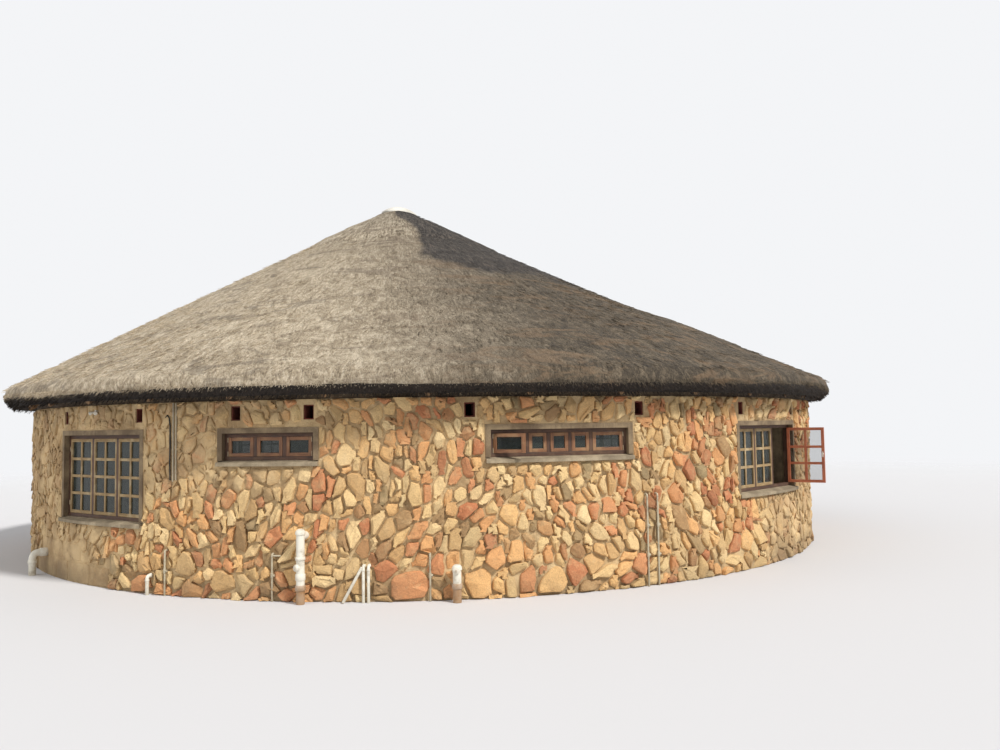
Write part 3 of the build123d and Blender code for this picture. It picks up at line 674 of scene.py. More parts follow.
by_bay = {bay: [] for bay in BAYS}
for outline in stone_outlines():
    bearing = degrees(middle(outline[0])[0] / WALL_R)
    while bearing < BAYS["front_left"]:
        bearing += 360
    by_bay[max((bay for bay in BAYS if bearing >= BAYS[bay]), key=BAYS.get)].append(outline)
for bay, found in by_bay.items():
    stones_of(bay, found)

# ---------------------------------------------------------------- thatch
SIDES, CROWN_SIDES, HOLLOW_RINGS, SLOPE_RINGS, CROWN_RINGS = 400, 220, 40, 150, 45
# Painted shade below the peak is laid only above the last height given here.
CUT_R, HOLLOW_TIP_R, SHADE_FROM_Z = EAVE_INNER_R + 0.04, 0.15, 4.4
CAP_R, CAP_RIM_Z, CAP_RISE, CAP_TILT, CAP_SHIFT = 0.4, 6.762, 0.156, radians(7), 0.02
CROWN_RIM_Z = 6.73
STRAND_R, CROWN_STRAND_R = 7.9, 5.0    # the straw's pattern is laid out round these
# How far the lip of the eave lies above or below a level ring: bearing, rise
LIP = [(-180, 0.0), (-120, 0.0), (-92, 0.06), (-75, 0.1), (-60, 0.03), (-45, -0.028), (-27, -0.018),
       (-10, -0.018), (13, -0.03), (28, -0.01), (40, 0.015), (50, 0.035), (65, 0.0), (80, -0.07),
       (100, -0.05), (120, 0.0), (180, 0.0)]


def slope_at(z):
    """Centre x and radius of the laid thatch at a height."""
    share = (z - SHOULDER_Z) / (PEAK_Z - SHOULDER_Z)
    hang = SAG * 4 * share * (1 - share)
    return ROOF_X + LEAN * (z - SHOULDER_Z) - hang, SHOULDER_R - (z - SHOULDER_Z) / SLOPE - hang


def cut_radius(share):
    """Radius of the cut underside, from its inner edge at 0 to the nose at 1."""
    return EAVE_R + (1 - share) ** 2 * (CUT_R - EAVE_R)


def nose_radius(share):
    """Radius of the nose, from its tip at 0 to the shoulder at 1."""
    return EAVE_R + share * share * (SHOULDER_R - EAVE_R)


def thatch_rings():
    """Rings of the whole hat, from the hollow's tip out to the eave and up to the peak."""
    layer = SHOULDER_Z + SLOPE * (SHOULDER_R - EAVE_INNER_R) - EAVE_Z
    rings = []
    for i in range(HOLLOW_RINGS):
        r = HOLLOW_TIP_R + (EAVE_INNER_R - HOLLOW_TIP_R) * i / (HOLLOW_RINGS - 1)
        z = EAVE_Z + (EAVE_INNER_R - r) * SLOPE
        rings.append((ROOF_X + LEAN * (z + layer - SHOULDER_Z), r, z, 1.0))
    for share in (0, 0.15, 0.3, 0.45, 0.6, 0.75, 0.9, 1):
        z = EAVE_Z + share * (NOSE_Z - EAVE_Z)
        rings.append((ROOF_X, cut_radius(share), z, 1.0 if z < NOSE_Z - 0.03 else 0.0))
    for share in (0.2, 0.4, 0.6, 0.8, 1):
        rings.append((ROOF_X, nose_radius(share), NOSE_Z + share * (SHOULDER_Z - NOSE_Z), 0.0))
    for i in range(1, SLOPE_RINGS + 1):
        z = SHOULDER_Z + (PEAK_Z - SHOULDER_Z) * i / SLOPE_RINGS
        rings.append((*slope_at(z), z, 0.0))
    return rings


def crown_rings():
    """Rings of the layer round the peak, from its feathered foot up to the cap."""
    x, r = slope_at(CROWN_Z)
    rings = [(x, r - 0.05, CROWN_Z - 0.005, 1.0)]
    for i in range(CROWN_RINGS + 1):
        z = CROWN_Z + (CROWN_RIM_Z - CROWN_Z) * i / CROWN_RINGS
        x, r = slope_at(z)
        rings.append((x, r + CROWN_T - 0.03 * steady(z, CROWN_RIM_Z - 0.2, CROWN_RIM_Z), z, 0.0))
    return rings + [(x - 0.003, r, CROWN_RIM_Z + rise, 0.0)
                    for r, rise in ((0.41, 0.008), (0.36, 0.012), (0.3, 0.014))]


def hat(name, rings, sides, paint):
    """Closed skin over rings of centre x, radius, height and share that is cut straw: dark cut ends with painted
    shade of the eave's underside.
    """
    corners, faces = [], []
    for x, r, z, _ in rings:
        corners += [(x + r * cos(2 * pi * i / sides), r * sin(2 * pi * i / sides), z) for i in range(sides)]
    for k in range(len(rings) - 1):
        a, b = k * sides, (k + 1) * sides
        faces += [(a + i, b + i, b + (i + 1) % sides, a + (i + 1) % sides) for i in range(sides)]
    faces.append(list(range(sides)))
    faces.append([(len(rings) - 1) * sides + i for i in reversed(range(sides))])
    return piece_from(name, corners, faces, paint)


def painted_shade_at(place, centre):
    """Painted shade in a patch below the peak: from the front round to the right, 0 to 1."""
    bearing = degrees(atan2(place.x - centre, -place.y))
    ragged = noise.noise(place * 1.7) + 0.5 * noise.noise(place * 5.0)
    edge = 5.0 - 16.0 * steady(place.z, 6.2, 6.75) + 3.0 * steady(place.z, 5.1, 5.7)
    foot = 5.12 - 0.33 * steady(bearing, 4.0, 25.0) + 0.16 * ragged
    return (steady(bearing + 2.0 * ragged, edge - 1.5, edge + 2.0) * (1 - steady(bearing, 105.0, 150.0))
            * steady(place.z, foot - 0.06, foot + 0.12))


def lip_rise(bearing):
    """How far the lip of the eave wanders up or down."""
    bearing = (bearing + 180) % 360 - 180
    for (low, one), (high, other) in zip(LIP, LIP[1:]):
        if bearing <= high:
            return one + (other - one) * steady(bearing, low, high)
    return 0.0


def settled(bearing, z):
    """How far the thatch has sunk on the right of the peak."""
    bearing = (bearing + 180) % 360 - 180
    return (0.085 * steady(bearing, 28, 60) * (1 - steady(bearing, 115, 160)) * steady(z, 3.9, 4.7)
            * (1 - 0.7 * steady(z, 6.3, 6.75)))


def lumps(place, length):
    """How far the laid straw stands out: broad lumps, courses and tufts."""
    broad = noise.noise(place * 0.55) * 0.03
    tuft = noise.noise(place * 2.6) * 0.018 + noise.noise(place * 7.5) * 0.013
    course = (length * 1.4 + noise.noise(place * 0.4) * 1.3) % 1.0
    return broad + tuft - 0.012 * course


def lay_straw(piece, rings, sides, girth, shape, replaced):
    """Shapes a hat corner by corner and marks how its straw runs, where it is cut (dark ends with painted shade
    under the eave) and where painted shade darkens it below the peak.
    """
    strands, cut_shades, darks, length = [], [], [], 0.0
    for k, (x, r, z, under) in enumerate(rings):
        if k:
            length += hypot(r - rings[k - 1][1], z - rings[k - 1][2])
        for i in range(sides):
            a = 2 * pi * i / sides
            strands += [girth * cos(a), girth * sin(a), length]
            cut, dark = shape(piece.data.vertices[k * sides + i], k, a, x, z, under, length)
            cut_shades.append(cut)
            darks.append(dark)
    mark(piece, "strand", strands, "FLOAT_VECTOR")
    mark(piece, "cut", cut_shades)
    mark(piece, "dark", darks)
    smooth(piece, 60)
    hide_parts(replaced)


def shape_roof(vertex, k, a, x, z, under, length):
    """Makes a corner of the roof uneven and sinks it where it has settled; gives its share of dark cut ends with
    painted shade under the eave, and its painted shade below the peak.
    """
    place, bearing, on_slope = vertex.co.copy(), degrees(a) + 90, k >= first_slope
    if k > HOLLOW_RINGS:
        out = Vector((cos(a), sin(a), SLOPE if on_slope else 0.1)).normalized()
        vertex.co += out * min(lumps(place, length) - 0.022, 0.0 if z < SHOULDER_Z else 0.012)
        vertex.co.z -= settled(bearing, z) + 0.07 * steady(z, 6.4, 6.75)
        if not on_slope:
            vertex.co.z += (lip_rise(bearing) + 0.014 * noise.noise(place * 1.6) + 0.012 * noise.noise(place * 6.0)
                            ) * steady(z, EAVE_Z, NOSE_Z) * (1 - steady(z, NOSE_Z, SHOULDER_Z + 0.02))
    return 0.0 if on_slope else under, painted_shade_at(place, x) if z > SHADE_FROM_Z and on_slope else 0.0


def shape_crown(vertex, k, a, x, z, _, length):
    """Thins the crown towards its foot and tilts its top with the cap; gives its cut share and its painted shade
    below the peak.
    """
    dark = painted_shade_at(vertex.co, x)
    if 0 < k < CROWN_RINGS:
        out = Vector((cos(a), sin(a), SLOPE)).normalized()
        thin = 1 - steady(z, CROWN_Z - 0.01, CROWN_Z + 0.3 + 0.25 * noise.noise(vertex.co * 1.4))
        vertex.co += out * (min(0.008, lumps(vertex.co * 1.6, length) * 0.7 - 0.01) - 0.062 * thin)
    askew = tan(CAP_TILT) * (vertex.co.x - x) if vertex.co.x > x else 0.06 * (x - vertex.co.x)
    vertex.co.z -= settled(degrees(a) + 90, z) + askew * steady(z, 6.35, CROWN_RIM_Z)
    return 0.0, dark


rings = thatch_rings()
first_slope = len(rings) - SLOPE_RINGS - 1
lay_straw(hat("thatch_laid", rings, SIDES, thatch), rings, SIDES, STRAND_R, shape_roof,
          "thatch_roof")
rings = crown_rings()
lay_straw(hat("thatch_crown_laid", rings, CROWN_SIDES, crown_thatch), rings, CROWN_SIDES,
          CROWN_STRAND_R, shape_crown, "thatch_crown")


# ---------------------------------------------------------------- cap over the peak
def cap_dome():
    """Cast cap: a low dome with a rounded, slightly uneven lip, spun from its section and a little askew."""
    bend = (CAP_R ** 2 + CAP_RISE ** 2) / 2 / CAP_RISE
    centre = slope_at(PEAK_Z)[0] + CAP_SHIFT
    section = [(0.0, -0.045), (CAP_R - 0.03, -0.045), (CAP_R - 0.006, -0.04), (CAP_R, -0.03), (CAP_R, 0.0)]
    for i in range(1, 14):
        r = (CAP_R - 0.004) * cos(radians(90 * i / 13))
        section.append((r, CAP_RISE - bend + sqrt(bend * bend - r * r)))
    piece = piece_from("peak_cap_domed", [(centre + r, 0.0, z + CAP_RIM_Z) for r, z in section], [], cap_cement)
    piece.data.edges.add(len(section) - 1)
    piece.data.edges.foreach_set("vertices", [n for i in range(len(section) - 1) for n in (i, i + 1)])
    alone(piece)
    bpy.ops.object.mode_set(mode="EDIT")
    bpy.ops.mesh.select_all(action="SELECT")
    bpy.ops.mesh.spin(steps=72, angle=2 * pi, center=(centre, 0, 0), axis=(0, 0, 1))
    bpy.ops.object.mode_set(mode="OBJECT")
    edited(piece, (bpy.ops.mesh.remove_doubles, {"threshold": 0.0004}), OUTWARD)
    pivot = Vector((centre, 0, CAP_RIM_Z))
    for vertex in piece.data.vertices:
        vertex.co = pivot + Matrix.Rotation(CAP_TILT, 3, "Y") @ (vertex.co - pivot)
        vertex.co.z += 0.004 * noise.noise(vertex.co * 5.0) - 0.004
    smooth(piece, 50)
    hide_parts("peak_cap")


cap_dome()


# ---------------------------------------------------------------- loose straw
def straw_piece(name, spots):
    """Many tapered stems, one modelled and copied to every spot: foot, direction, length, thickness, and cut share,
    painted dark as cut ends with painted shade under the eave.
    """
    bpy.ops.object.select_all(action="DESELECT")
    bpy.ops.mesh.primitive_cone_add(vertices=3, radius1=0.5, radius2=0.18, depth=1.0, location=(0, 0, 0.5))
    model = bpy.context.active_object
    shape = [v.co + model.location for v in model.data.vertices]
    plan = [list(f.vertices) for f in model.data.polygons]
    bpy.data.objects.remove(model)
    corners, faces, strands, cut_shades = [], [], [], []
    for foot, way, size, thick, end_shade in spots:
        turn = way.to_track_quat("Z", "X")
        faces += [[len(corners) + i for i in f] for f in plan]
        a = atan2(foot.y, foot.x)
        for v in shape:
            corners.append(foot + turn @ Vector((v.x * thick, v.y * thick, v.z * size)))
            strands += [STRAND_R * cos(a), STRAND_R * sin(a), foot.z * 2.0 + v.z * size]
            cut_shades.append(end_shade)
    piece = piece_from(name, corners, faces, thatch)
    mark(piece, "strand", strands, "FLOAT_VECTOR")
    mark(piece, "cut", cut_shades)
    # Painted shade below the peak, as on the roof.
    mark(piece, "dark", [painted_shade_at(Vector(c), ROOF_X + LEAN * (c[2] - SHOULDER_Z)) if c[2] > SHADE_FROM_Z else 0.0
                         for c in corners])


def eave_straw(count=5200):
    """Trimmed stem ends that stand out of the nose and hang below it."""
    for i in range(count):
        a = 2 * pi * (i + chance.random()) / count
        k = chance.random()
        z = NOSE_Z - 0.02 - 0.145 * k
        r = cut_radius((z - EAVE_Z) / (NOSE_Z - EAVE_Z)) - 0.06
        foot = Vector((ROOF_X + r * cos(a), r * sin(a), z + lip_rise(degrees(a) + 90) * steady(z, EAVE_Z, NOSE_Z)))
        way = Vector((cos(a), sin(a), -0.75 - 0.6 * k + chance.uniform(-0.3, 0.2)))
        way += Vector((-sin(a), cos(a), 0)) * chance.uniform(-0.35, 0.35)
        # Lower stems take a larger cut share: painted shade under the eave over their dark cut ends.
        yield (foot, way.normalized(), chance.uniform(0.055, 0.085), chance.uniform(0.009, 0.02), 0.45 + 0.5 * k)


def lip_straw(count=9000):
    """Short stem ends that make the lip furry."""
    for i in range(count):
        a = 2 * pi * (i + chance.random()) / count
        z = NOSE_Z + chance.uniform(-0.01, 0.05)
        r = nose_radius(max(0.0, (z - NOSE_Z) / (SHOULDER_Z - NOSE_Z))) - 0.065
        rise = lip_rise(degrees(a) + 90) * (1 - steady(z, NOSE_Z, SHOULDER_Z + 0.02))
        way = Vector((cos(a), sin(a), -0.9 + chance.uniform(-0.5, 0.3)))
        way += Vector((-sin(a), cos(a), 0)) * chance.uniform(-0.5, 0.5)
        yield (Vector((ROOF_X + r * cos(a), r * sin(a), z + rise)), way.normalized(),
               chance.uniform(0.05, 0.085), chance.uniform(0.008, 0.018), 0.0)


def slope_straw(count=15000):
    """Stems that have lifted a little all over the slope."""
    for _ in range(count):
        z = SHOULDER_Z + (PEAK_Z - SHOULDER_Z) * (1 - sqrt(chance.random())) * 0.985
        x, r = slope_at(z)
        a = chance.uniform(0, 2 * pi)
        on = Vector((x + r * cos(a), r * sin(a), z - settled(degrees(a) + 90, z)))
        down = Vector((cos(a), sin(a), -SLOPE)).normalized()
        out = Vector((cos(a) * SLOPE, sin(a) * SLOPE, 1.0)).normalized()
        across = Vector((-sin(a), cos(a), 0)) * chance.uniform(-0.35, 0.35)
        way = (down + out * chance.uniform(0.05, 0.22) + across).normalized()
        yield on - out * 0.03, way, chance.uniform(0.1, 0.2), chance.uniform(0.008, 0.018), 0.0


straw_piece("eave_straw", eave_straw())
straw_piece("lip_straw", lip_straw())
straw_piece("slope_straw", slope_straw())


# ---------------------------------------------------------------- vents
def vent_linings():
    """Fired clay sleeves that line the vents, set a little back from the face."""
    corners, faces = [], []
    for bearing in VENTS:
        across, out = facing(bearing)
        centre, first = outward(bearing, WALL_R - 0.02, VENT_Z), len(corners)
        for inset, depth in ((0.001, -0.3), (0.001, 0.0), (0.016, 0.0), (0.018, -0.3)):
            w, h = VENT_W / 2 - inset, VENT_H / 2 - inset
            corners += [centre + across * x * w + Vector((0, 0, y * h)) + out * depth
                        for x, y in ((-1, -1), (1, -1), (1, 1), (-1, 1))]
        for k in range(4):
            for i in range(4):
                j, m = (i + 1) % 4, (k + 1) % 4
                faces.append((first + 4 * k + i, first + 4 * k + j, first + 4 * m + j, first + 4 * m + i))
    edited(piece_from("vent_linings", corners, faces, clay), OUTWARD)


vent_linings()

# ---------------------------------------------------------------- windows and door
FRAME_W, FRAME_D, STILE_W, SASH_D, FIT, SET_BACK, WORN_EDGE = 0.05, 0.075, 0.046, 0.04, 0.002, 0.07, 0.003
THIN_STILE_W, BAR_W, GLASS_AT, GLASS_T, LONG_CASEMENT_W = 0.034, 0.04, 0.018, 0.004, 0.44
BAR_DEPTHS = (0.002, GLASS_AT - 0.0005), (GLASS_AT + GLASS_T + 0.0005, 0.034)    # before and behind the glass
PANED_W, PANE_ROWS = 1.975, {0.93: 4, 1.13: 3}    # width of the paned windows, rows by sill height
SWUNG = {("long", 0): (40, False), ("right", 2): (100, True)}    # degrees open, hung on the right


class Timber:
    """Planed members gathered into one piece, each with its own grain direction."""

    def __init__(self, *place):
        self.corners, self.faces, self.levels = [], [], []
        if place:
            self.stand(*place)

    def stand(self, origin, along, out):
        self.origin, self.along, self.out = origin, along, out

    def member(self, left, right, low, high, front, back):
        """One member between two widths, two heights and two depths behind the face."""
        first = len(self.corners)
        for y in (front, back):
            for x, z in ((left, low), (right, low), (right, high), (left, high)):
                self.corners.append(self.origin + self.along * x + Vector((0, 0, z)) - self.out * y)
        self.faces += [[first + i for i in face] for face in
                       ((0, 1, 2, 3), (7, 6, 5, 4), (0, 4, 5, 1), (1, 5, 6, 2), (2, 6, 7, 3), (3, 7, 4, 0))]
        self.levels += [1.0 if right - left > high - low else 0.0] * 6

    def laid(self, name, paint, replaced):
        piece = piece_from(name, self.corners, self.faces, paint)
        mark(piece, "level", self.levels, domain="FACE")
        edited(piece, OUTWARD)
        bevel = piece.modifiers.new("worn edges", "BEVEL")
        bevel.width, bevel.segments, bevel.limit_method = WORN_EDGE, 2, "ANGLE"
        bpy.ops.object.modifier_apply(modifier=bevel.name)
        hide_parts(replaced)


def face_of(bearing, width, height):
    """Middle of an opening's set-back face, with the directions along it and out of it."""
    return outward(bearing, sqrt(WALL_R ** 2 - (width / 2) ** 2) - SET_BACK, height), *facing(bearing)


def window_face(key):
    bearing, width, sill = WINDOWS[key]
    return face_of(bearing, width, (sill + HEAD_Z) / 2)


def lights(key):
    """Left edge and width of each light of a window."""
    width = WINDOWS[key][1] - 2 * FRAME_W
    if key == "long":
        fixed = (width - 4 * FRAME_W - 2 * LONG_CASEMENT_W) / 3
        widths = [LONG_CASEMENT_W, fixed, fixed, fixed, LONG_CASEMENT_W]
    else:
        widths = [(width - 2 * FRAME_W) / 3] * 3
    return [(-width / 2 + sum(widths[:i]) + i * FRAME_W, widths[i]) for i in range(len(widths))]


def add_frame(timber, key):
    _, width, sill = WINDOWS[key]
    half, tall = width / 2, (HEAD_Z - sill) / 2
    timber.stand(*window_face(key))
    timber.member(-half, half, tall - FRAME_W, tall, 0.0, FRAME_D)
    timber.member(-half, half, -tall, FRAME_W - tall, -0.006, FRAME_D)
    for left in [-half] + [left + w for left, w in lights(key)]:
        timber.member(left, left + FRAME_W, FRAME_W - tall, tall - FRAME_W, 0.001, FRAME_D - 0.001)


def hung(key, i):
    """Where a sash hangs: its hinge line at mid height and its directions, swung or shut."""
    opened, hinge_right = SWUNG.get((key, i), (0, False))
    origin, along, out = window_face(key)
    left, w = lights(key)[i]
    turn = radians(-opened if hinge_right else opened)
    return (origin + along * (left + w - FIT if hinge_right else left + FIT),
            along * cos(turn) + out * sin(turn), out * cos(turn) - along * sin(turn))


def add_sash(timber, key, i):
    """Sash with stiles, rails and glazing bars that clasp the glass."""
    _, width, sill = WINDOWS[key]
    opened, hinge_right = SWUNG.get((key, i), (0, False))
    timber.stand(*hung(key, i))
    wide, tall = lights(key)[i][1] - 2 * FIT, (HEAD_Z - sill) / 2 - FRAME_W - FIT
    low = -wide if hinge_right else 0.0
    high = low + wide
    stile = THIN_STILE_W if width == PANED_W and not opened else STILE_W
    for x in (low, high - stile):
        timber.member(x, x + stile, -tall, tall, 0.0, SASH_D)
    left, right = low + stile, high - stile
    timber.member(left, right, tall - STILE_W, tall, 0.001, SASH_D - 0.001)
    timber.member(left, right, -tall, STILE_W - tall, 0.001, SASH_D - 0.001)
    columns, rows = 2 if width == PANED_W else 1, PANE_ROWS.get(sill, 1)
    step = (right - left) / columns
    for front, back in BAR_DEPTHS:
        for k in range(1, columns):
            x = left + (right - left) * k / columns
            timber.member(x - BAR_W / 2, x + BAR_W / 2, STILE_W - tall, tall - STILE_W, front, back)
        for k in range(1, rows):
            z = STILE_W - tall + 2 * (tall - STILE_W) * k / rows
            for m in range(columns):
                timber.member(left + m * step + (BAR_W / 2 if m else 0),
                              left + (m + 1) * step - (BAR_W / 2 if m < columns - 1 else 0),
                              z - BAR_W / 2, z + BAR_W / 2, front + 0.001, back)
    return timber


for key, paint in (("big", weathered_wood), ("strip", sash_wood), ("long", sash_wood), ("right", weathered_wood)):
    timber = Timber()
    add_frame(timber, key)
    timber.laid("frame_front_" + key, frame_wood, "window_frame_front_" + key)
    timber = Timber()
    for i in range(len(lights(key))):
        if (key, i) not in SWUNG:
            add_sash(timber, key, i)
    timber.laid("sashes_front_" + key, paint, "window_sashes_front_" + key)
add_sash(Timber(), "long", 0).laid("casement_front_long", sash_wood, "open_sash_front_long")
add_sash(Timber(), "right", 2).laid("casement_front_right", varnished_wood, "open_sash_front_right")
rear_frames, rear_sashes = Timber(), Timber()
for key in ("east", "rear_right", "rear_left", "west"):
    add_frame(rear_frames, key)
    for i in range(3):
        add_sash(rear_sashes, key, i)
rear_frames.laid("frames_rear", frame_wood, "window_frames_rear")
rear_sashes.laid("sashes_rear", sash_wood, "window_sashes_rear")


# ---------------------------------------------------------------- pipes on the wall
class Runs:
    """Round runs of pipe gathered into one piece, each with a share of brown soil on it."""

    def __init__(self):
        self.corners, self.faces, self.soiled = [], [], []

    def tube(self, path, radii, side, soil=0.0, sides=18):
        """Round tube through a path; side is a direction square to all of it."""
        first, last = len(self.corners), len(path) - 1
        for i, (point, radius) in enumerate(zip(path, radii)):
            ahead = (path[min(i + 1, last)] - path[max(i - 1, 0)]).normalized()
            across = side.cross(ahead)
            for k in range(sides):
                a = 2 * pi * k / sides
                self.corners.append(point + side * radius * cos(a) + across * radius * sin(a))
                self.soiled.append(soil)
        for i in range(last):
            a, b = first + i * sides, first + (i + 1) * sides
            self.faces += [(a + k, a + (k + 1) % sides, b + (k + 1) % sides, b + k) for k in range(sides)]
        self.faces.append([first + k for k in reversed(range(sides))])
        self.faces.append([first + last * sides + k for k in range(sides)])

    def collar(self, start, end, radius, side, soil=0.0, sides=18):
        """Socket with rounded lips."""
        path = [start.lerp(end, share) for share in (0.0, 0.1, 0.9, 1.0)]
        self.tube(path, [radius * 0.93, radius, radius, radius * 0.93], side, soil, sides)

    def plumb_tube(self, bearing, reach, top, foot, radius, soil=0.0):
        self.tube([outward(bearing, reach, top), outward(bearing, reach, foot)], [radius] * 2,
                  facing(bearing)[0], soil)

    def plumb_collar(self, bearing, reach, top, foot, radius, soil=0.0):
        self.collar(outward(bearing, reach, top), outward(bearing, reach, foot), radius, facing(bearing)[0], soil)

    def laid(self, name, paint, replaced=None, slot=None):
        piece = piece_from(name, self.corners, self.faces, paint)
        mark(piece, "soiled", self.soiled)
        smooth(piece, 50)
        if replaced:
            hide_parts(replaced)


def bent(start, corner, end, bend, steps=7):
    """A path turned in a bend at its corner."""
    into, away = (start - corner).normalized(), (end - corner).normalized()
    return [start] + [corner + into * bend * (1 - i / steps) ** 2 + away * bend * (i / steps) ** 2
                      for i in range(steps + 1)] + [end]


def wall_pipe(runs, bearing, top, size, stand):
    """Pipe that leaves the wall level, turns in an elbow with sockets and runs down to the ground."""
    side, reach, elbow, socket = facing(bearing)[0], WALL_R + stand, size * 0.95, size / 2 * 1.16
    path = bent(outward(bearing, WALL_R - 0.02, top), outward(bearing, reach, top), outward(bearing, reach, 0.0),
                size * 0.9)
    runs.tube(path, [size / 2 * 0.96] * len(path), side)
    runs.collar(outward(bearing, WALL_R - 0.004, top), outward(bearing, WALL_R + stand - elbow, top), socket, side)
    runs.plumb_collar(bearing, reach, top - elbow, top - elbow - size * 0.5, socket)


def eye(runs, bearing, z, reach, r, turn):
    """Round cleaning eye with a screwed lid on the side of a pipe."""
    side, out = facing(bearing + turn)
    centre = outward(bearing, reach, z)
    for near, far, wide, soil in ((0.0, 1.32, 0.84, 0.0), (1.3, 1.5, 0.68, 0.15), (1.5, 1.62, 0.26, 0.5)):
        runs.collar(centre + out * r * near, centre + out * r * far, r * wide, side, soil)


def waste_runs():
    """Thin wastes with elbows, wide ones with a domed top, a cleaning eye and a clay foot, and a sloping pipe."""
    runs = Runs()
    for bearing, top, size in WASTES:
        stand = size * 1.4 + 0.015
        if size < 0.1:
            wall_pipe(runs, bearing, top, size, stand)
            continue
        r, reach, side = size / 2, WALL_R + stand, facing(bearing)[0]
        crest, tall = top + r - 0.004, top > 0.6
        arm = top - 0.05
        runs.tube([outward(bearing, WALL_R - 0.02, arm), outward(bearing, reach, arm)], [r * 0.96] * 2, side)
        runs.plumb_tube(bearing, reach, crest - 0.03, 0.0, r * 0.96)
        dome = [(0.0, 1.16), (0.25, 1.16), (0.5, 1.12), (0.8, 0.86), (0.95, 0.5), (1.0, 0.15)]
        runs.tube([outward(bearing, reach, crest - 0.07 + 0.07 * share) for share, _ in dome],
                  [r * wide for _, wide in dome], side)
        for z, long in ((0.562, 0.04), (0.335, 0.08)) if tall else ():
            runs.plumb_collar(bearing, reach, z + long / 2, z - long / 2, r * 1.14)
        eye(runs, bearing, 0.451 if tall else top - 0.02, reach, r, -38 if tall else -12)
        runs.plumb_tube(bearing, reach, 0.2, 0.001, r * 0.985, 1.0)
        runs.plumb_collar(bearing, reach, 0.235, 0.17, r * 1.2, 0.85)
    runs.tube([outward(-6.95, WALL_R + 0.075, 0.44), outward(-8.7, WALL_R + 0.11, 0.012)], [0.019, 0.019],
              facing(-7.8)[1])
    return runs


def soil_run():
    runs = Runs()
    wall_pipe(runs, *SOIL, SOIL[2] * 1.9)
    return runs


def riser_runs():
    """Thin water pipes with couplings and side lugs."""
    runs = Runs()
    for riser in RISERS:
        bearing, top, size = riser
        wall_pipe(runs, *riser, size * 1.8)
        side, reach = facing(bearing)[0], WALL_R + size * 1.8
        for share in (0.34, 0.66) if top > 1 else (0.55,):
            z = top * share
            runs.plumb_collar(bearing, reach, z + 0.03, z - 0.03, size * 0.72)
            lug = outward(bearing, reach, z)
            runs.collar(lug, lug + side * 0.035, size * 0.6, UP)
        if riser == SIDE_TAP:
            branch = outward(bearing, reach, top - 0.02)
            runs.tube([branch, branch + side * 0.12], [size * 0.45] * 2, UP)
    return runs


def conduit_runs():
    """Two thin conduits side by side, held by screwed clips."""
    bearing, step, foot, size = CONDUITS
    runs, reach = Runs(), WALL_R + size / 2 + 0.001
    side, out = facing(bearing)
    for shift in (-1, 1):
        at = side * shift * step / 2
        runs.tube([outward(bearing, reach, WALL_H - 0.006) + at, outward(bearing, reach, foot) + at],
                  [size * 0.48] * 2, side)
        for z in (foot + 0.12, (foot + WALL_H) / 2, WALL_H - 0.12):
            clip = outward(bearing, reach, z) + at
            runs.collar(clip + Vector((0, 0, 0.011)), clip - Vector((0, 0, 0.011)), size * 0.6, side, 0.3)
            for way in (-1, 1):
                screw = clip + side * way * size * 0.8 - out * size * 0.3
                runs.collar(screw, screw + out * 0.006, 0.006, side, 0.6)
    return runs


def cable_run():
    """Black cable that hangs in a hook beside the conduits."""
    spots = [(-28.45, 2.17), (-28.62, 2.26), (-28.6, 2.34), (-28.35, 2.385), (-28.08, 2.35), (-27.95, 2.24),
             (-27.93, 2.0), (-27.98, 1.75), (-27.9, 1.52)]
    runs = Runs()
    runs.tube([outward(b, WALL_R + 0.02, z) for b, z in spots], [0.01] * len(spots), outward(-28.2, 1.0), sides=10)
    return runs


def eave_lamp():
    """Small twin lamp on the wall under the eave."""
    runs, bearing = Runs(), -39.9
    side, out = facing(bearing)
    back = outward(bearing, WALL_R - 0.004, 2.46)
    runs.collar(back, back + out * 0.03, 0.032, side)
    for way in (-1, 1):
        base = back + out * 0.03 + side * way * 0.03
        aim = (out * 0.7 + side * way * 0.8 - Vector((0, 0, 0.35))).normalized()
        runs.tube([base + aim * far for far in (0.0, 0.02, 0.03, 0.065, 0.07)], [0.01, 0.012, 0.02, 0.028, 0.025],
                  aim.cross(UP).normalized(), 0.1)
    return runs


def hardware():
    """Hinges of the outer lights of each front window."""
    runs = Runs()
    for key in ("big", "strip", "long", "right"):
        origin, along, out = window_face(key)
        tall = (HEAD_Z - WINDOWS[key][2]) / 2 - FRAME_W
        long = min(0.035, tall * 0.25)
        (left, _), (last, w) = lights(key)[0], lights(key)[-1]
        for x in (left - 0.001, last + w + 0.001):
            for z in (-tall * 0.72, tall * 0.72):
                runs.collar(origin + along * x + out * 0.004 + Vector((0, 0, z - long)),
                            origin + along * x + out * 0.004 + Vector((0, 0, z + long)), 0.0065, along, 0.4, 8)
    return runs


def catches():
    """White catch on the inner side of the swung sash."""
    runs = Runs()
    origin, along, out = hung("right", 2)
    spot = (origin - along * (lights("right")[2][1] - 2 * FIT - STILE_W / 2) + Vector((0, 0, 0.02)) - out * SASH_D)
    knob = spot - out * 0.02
    runs.collar(spot, spot - out * 0.022, 0.014, along, 0.0, 12)
    runs.collar(knob + Vector((0, 0, -0.05)), knob + Vector((0, 0, 0.035)), 0.008, along, 0.0, 10)
    return runs


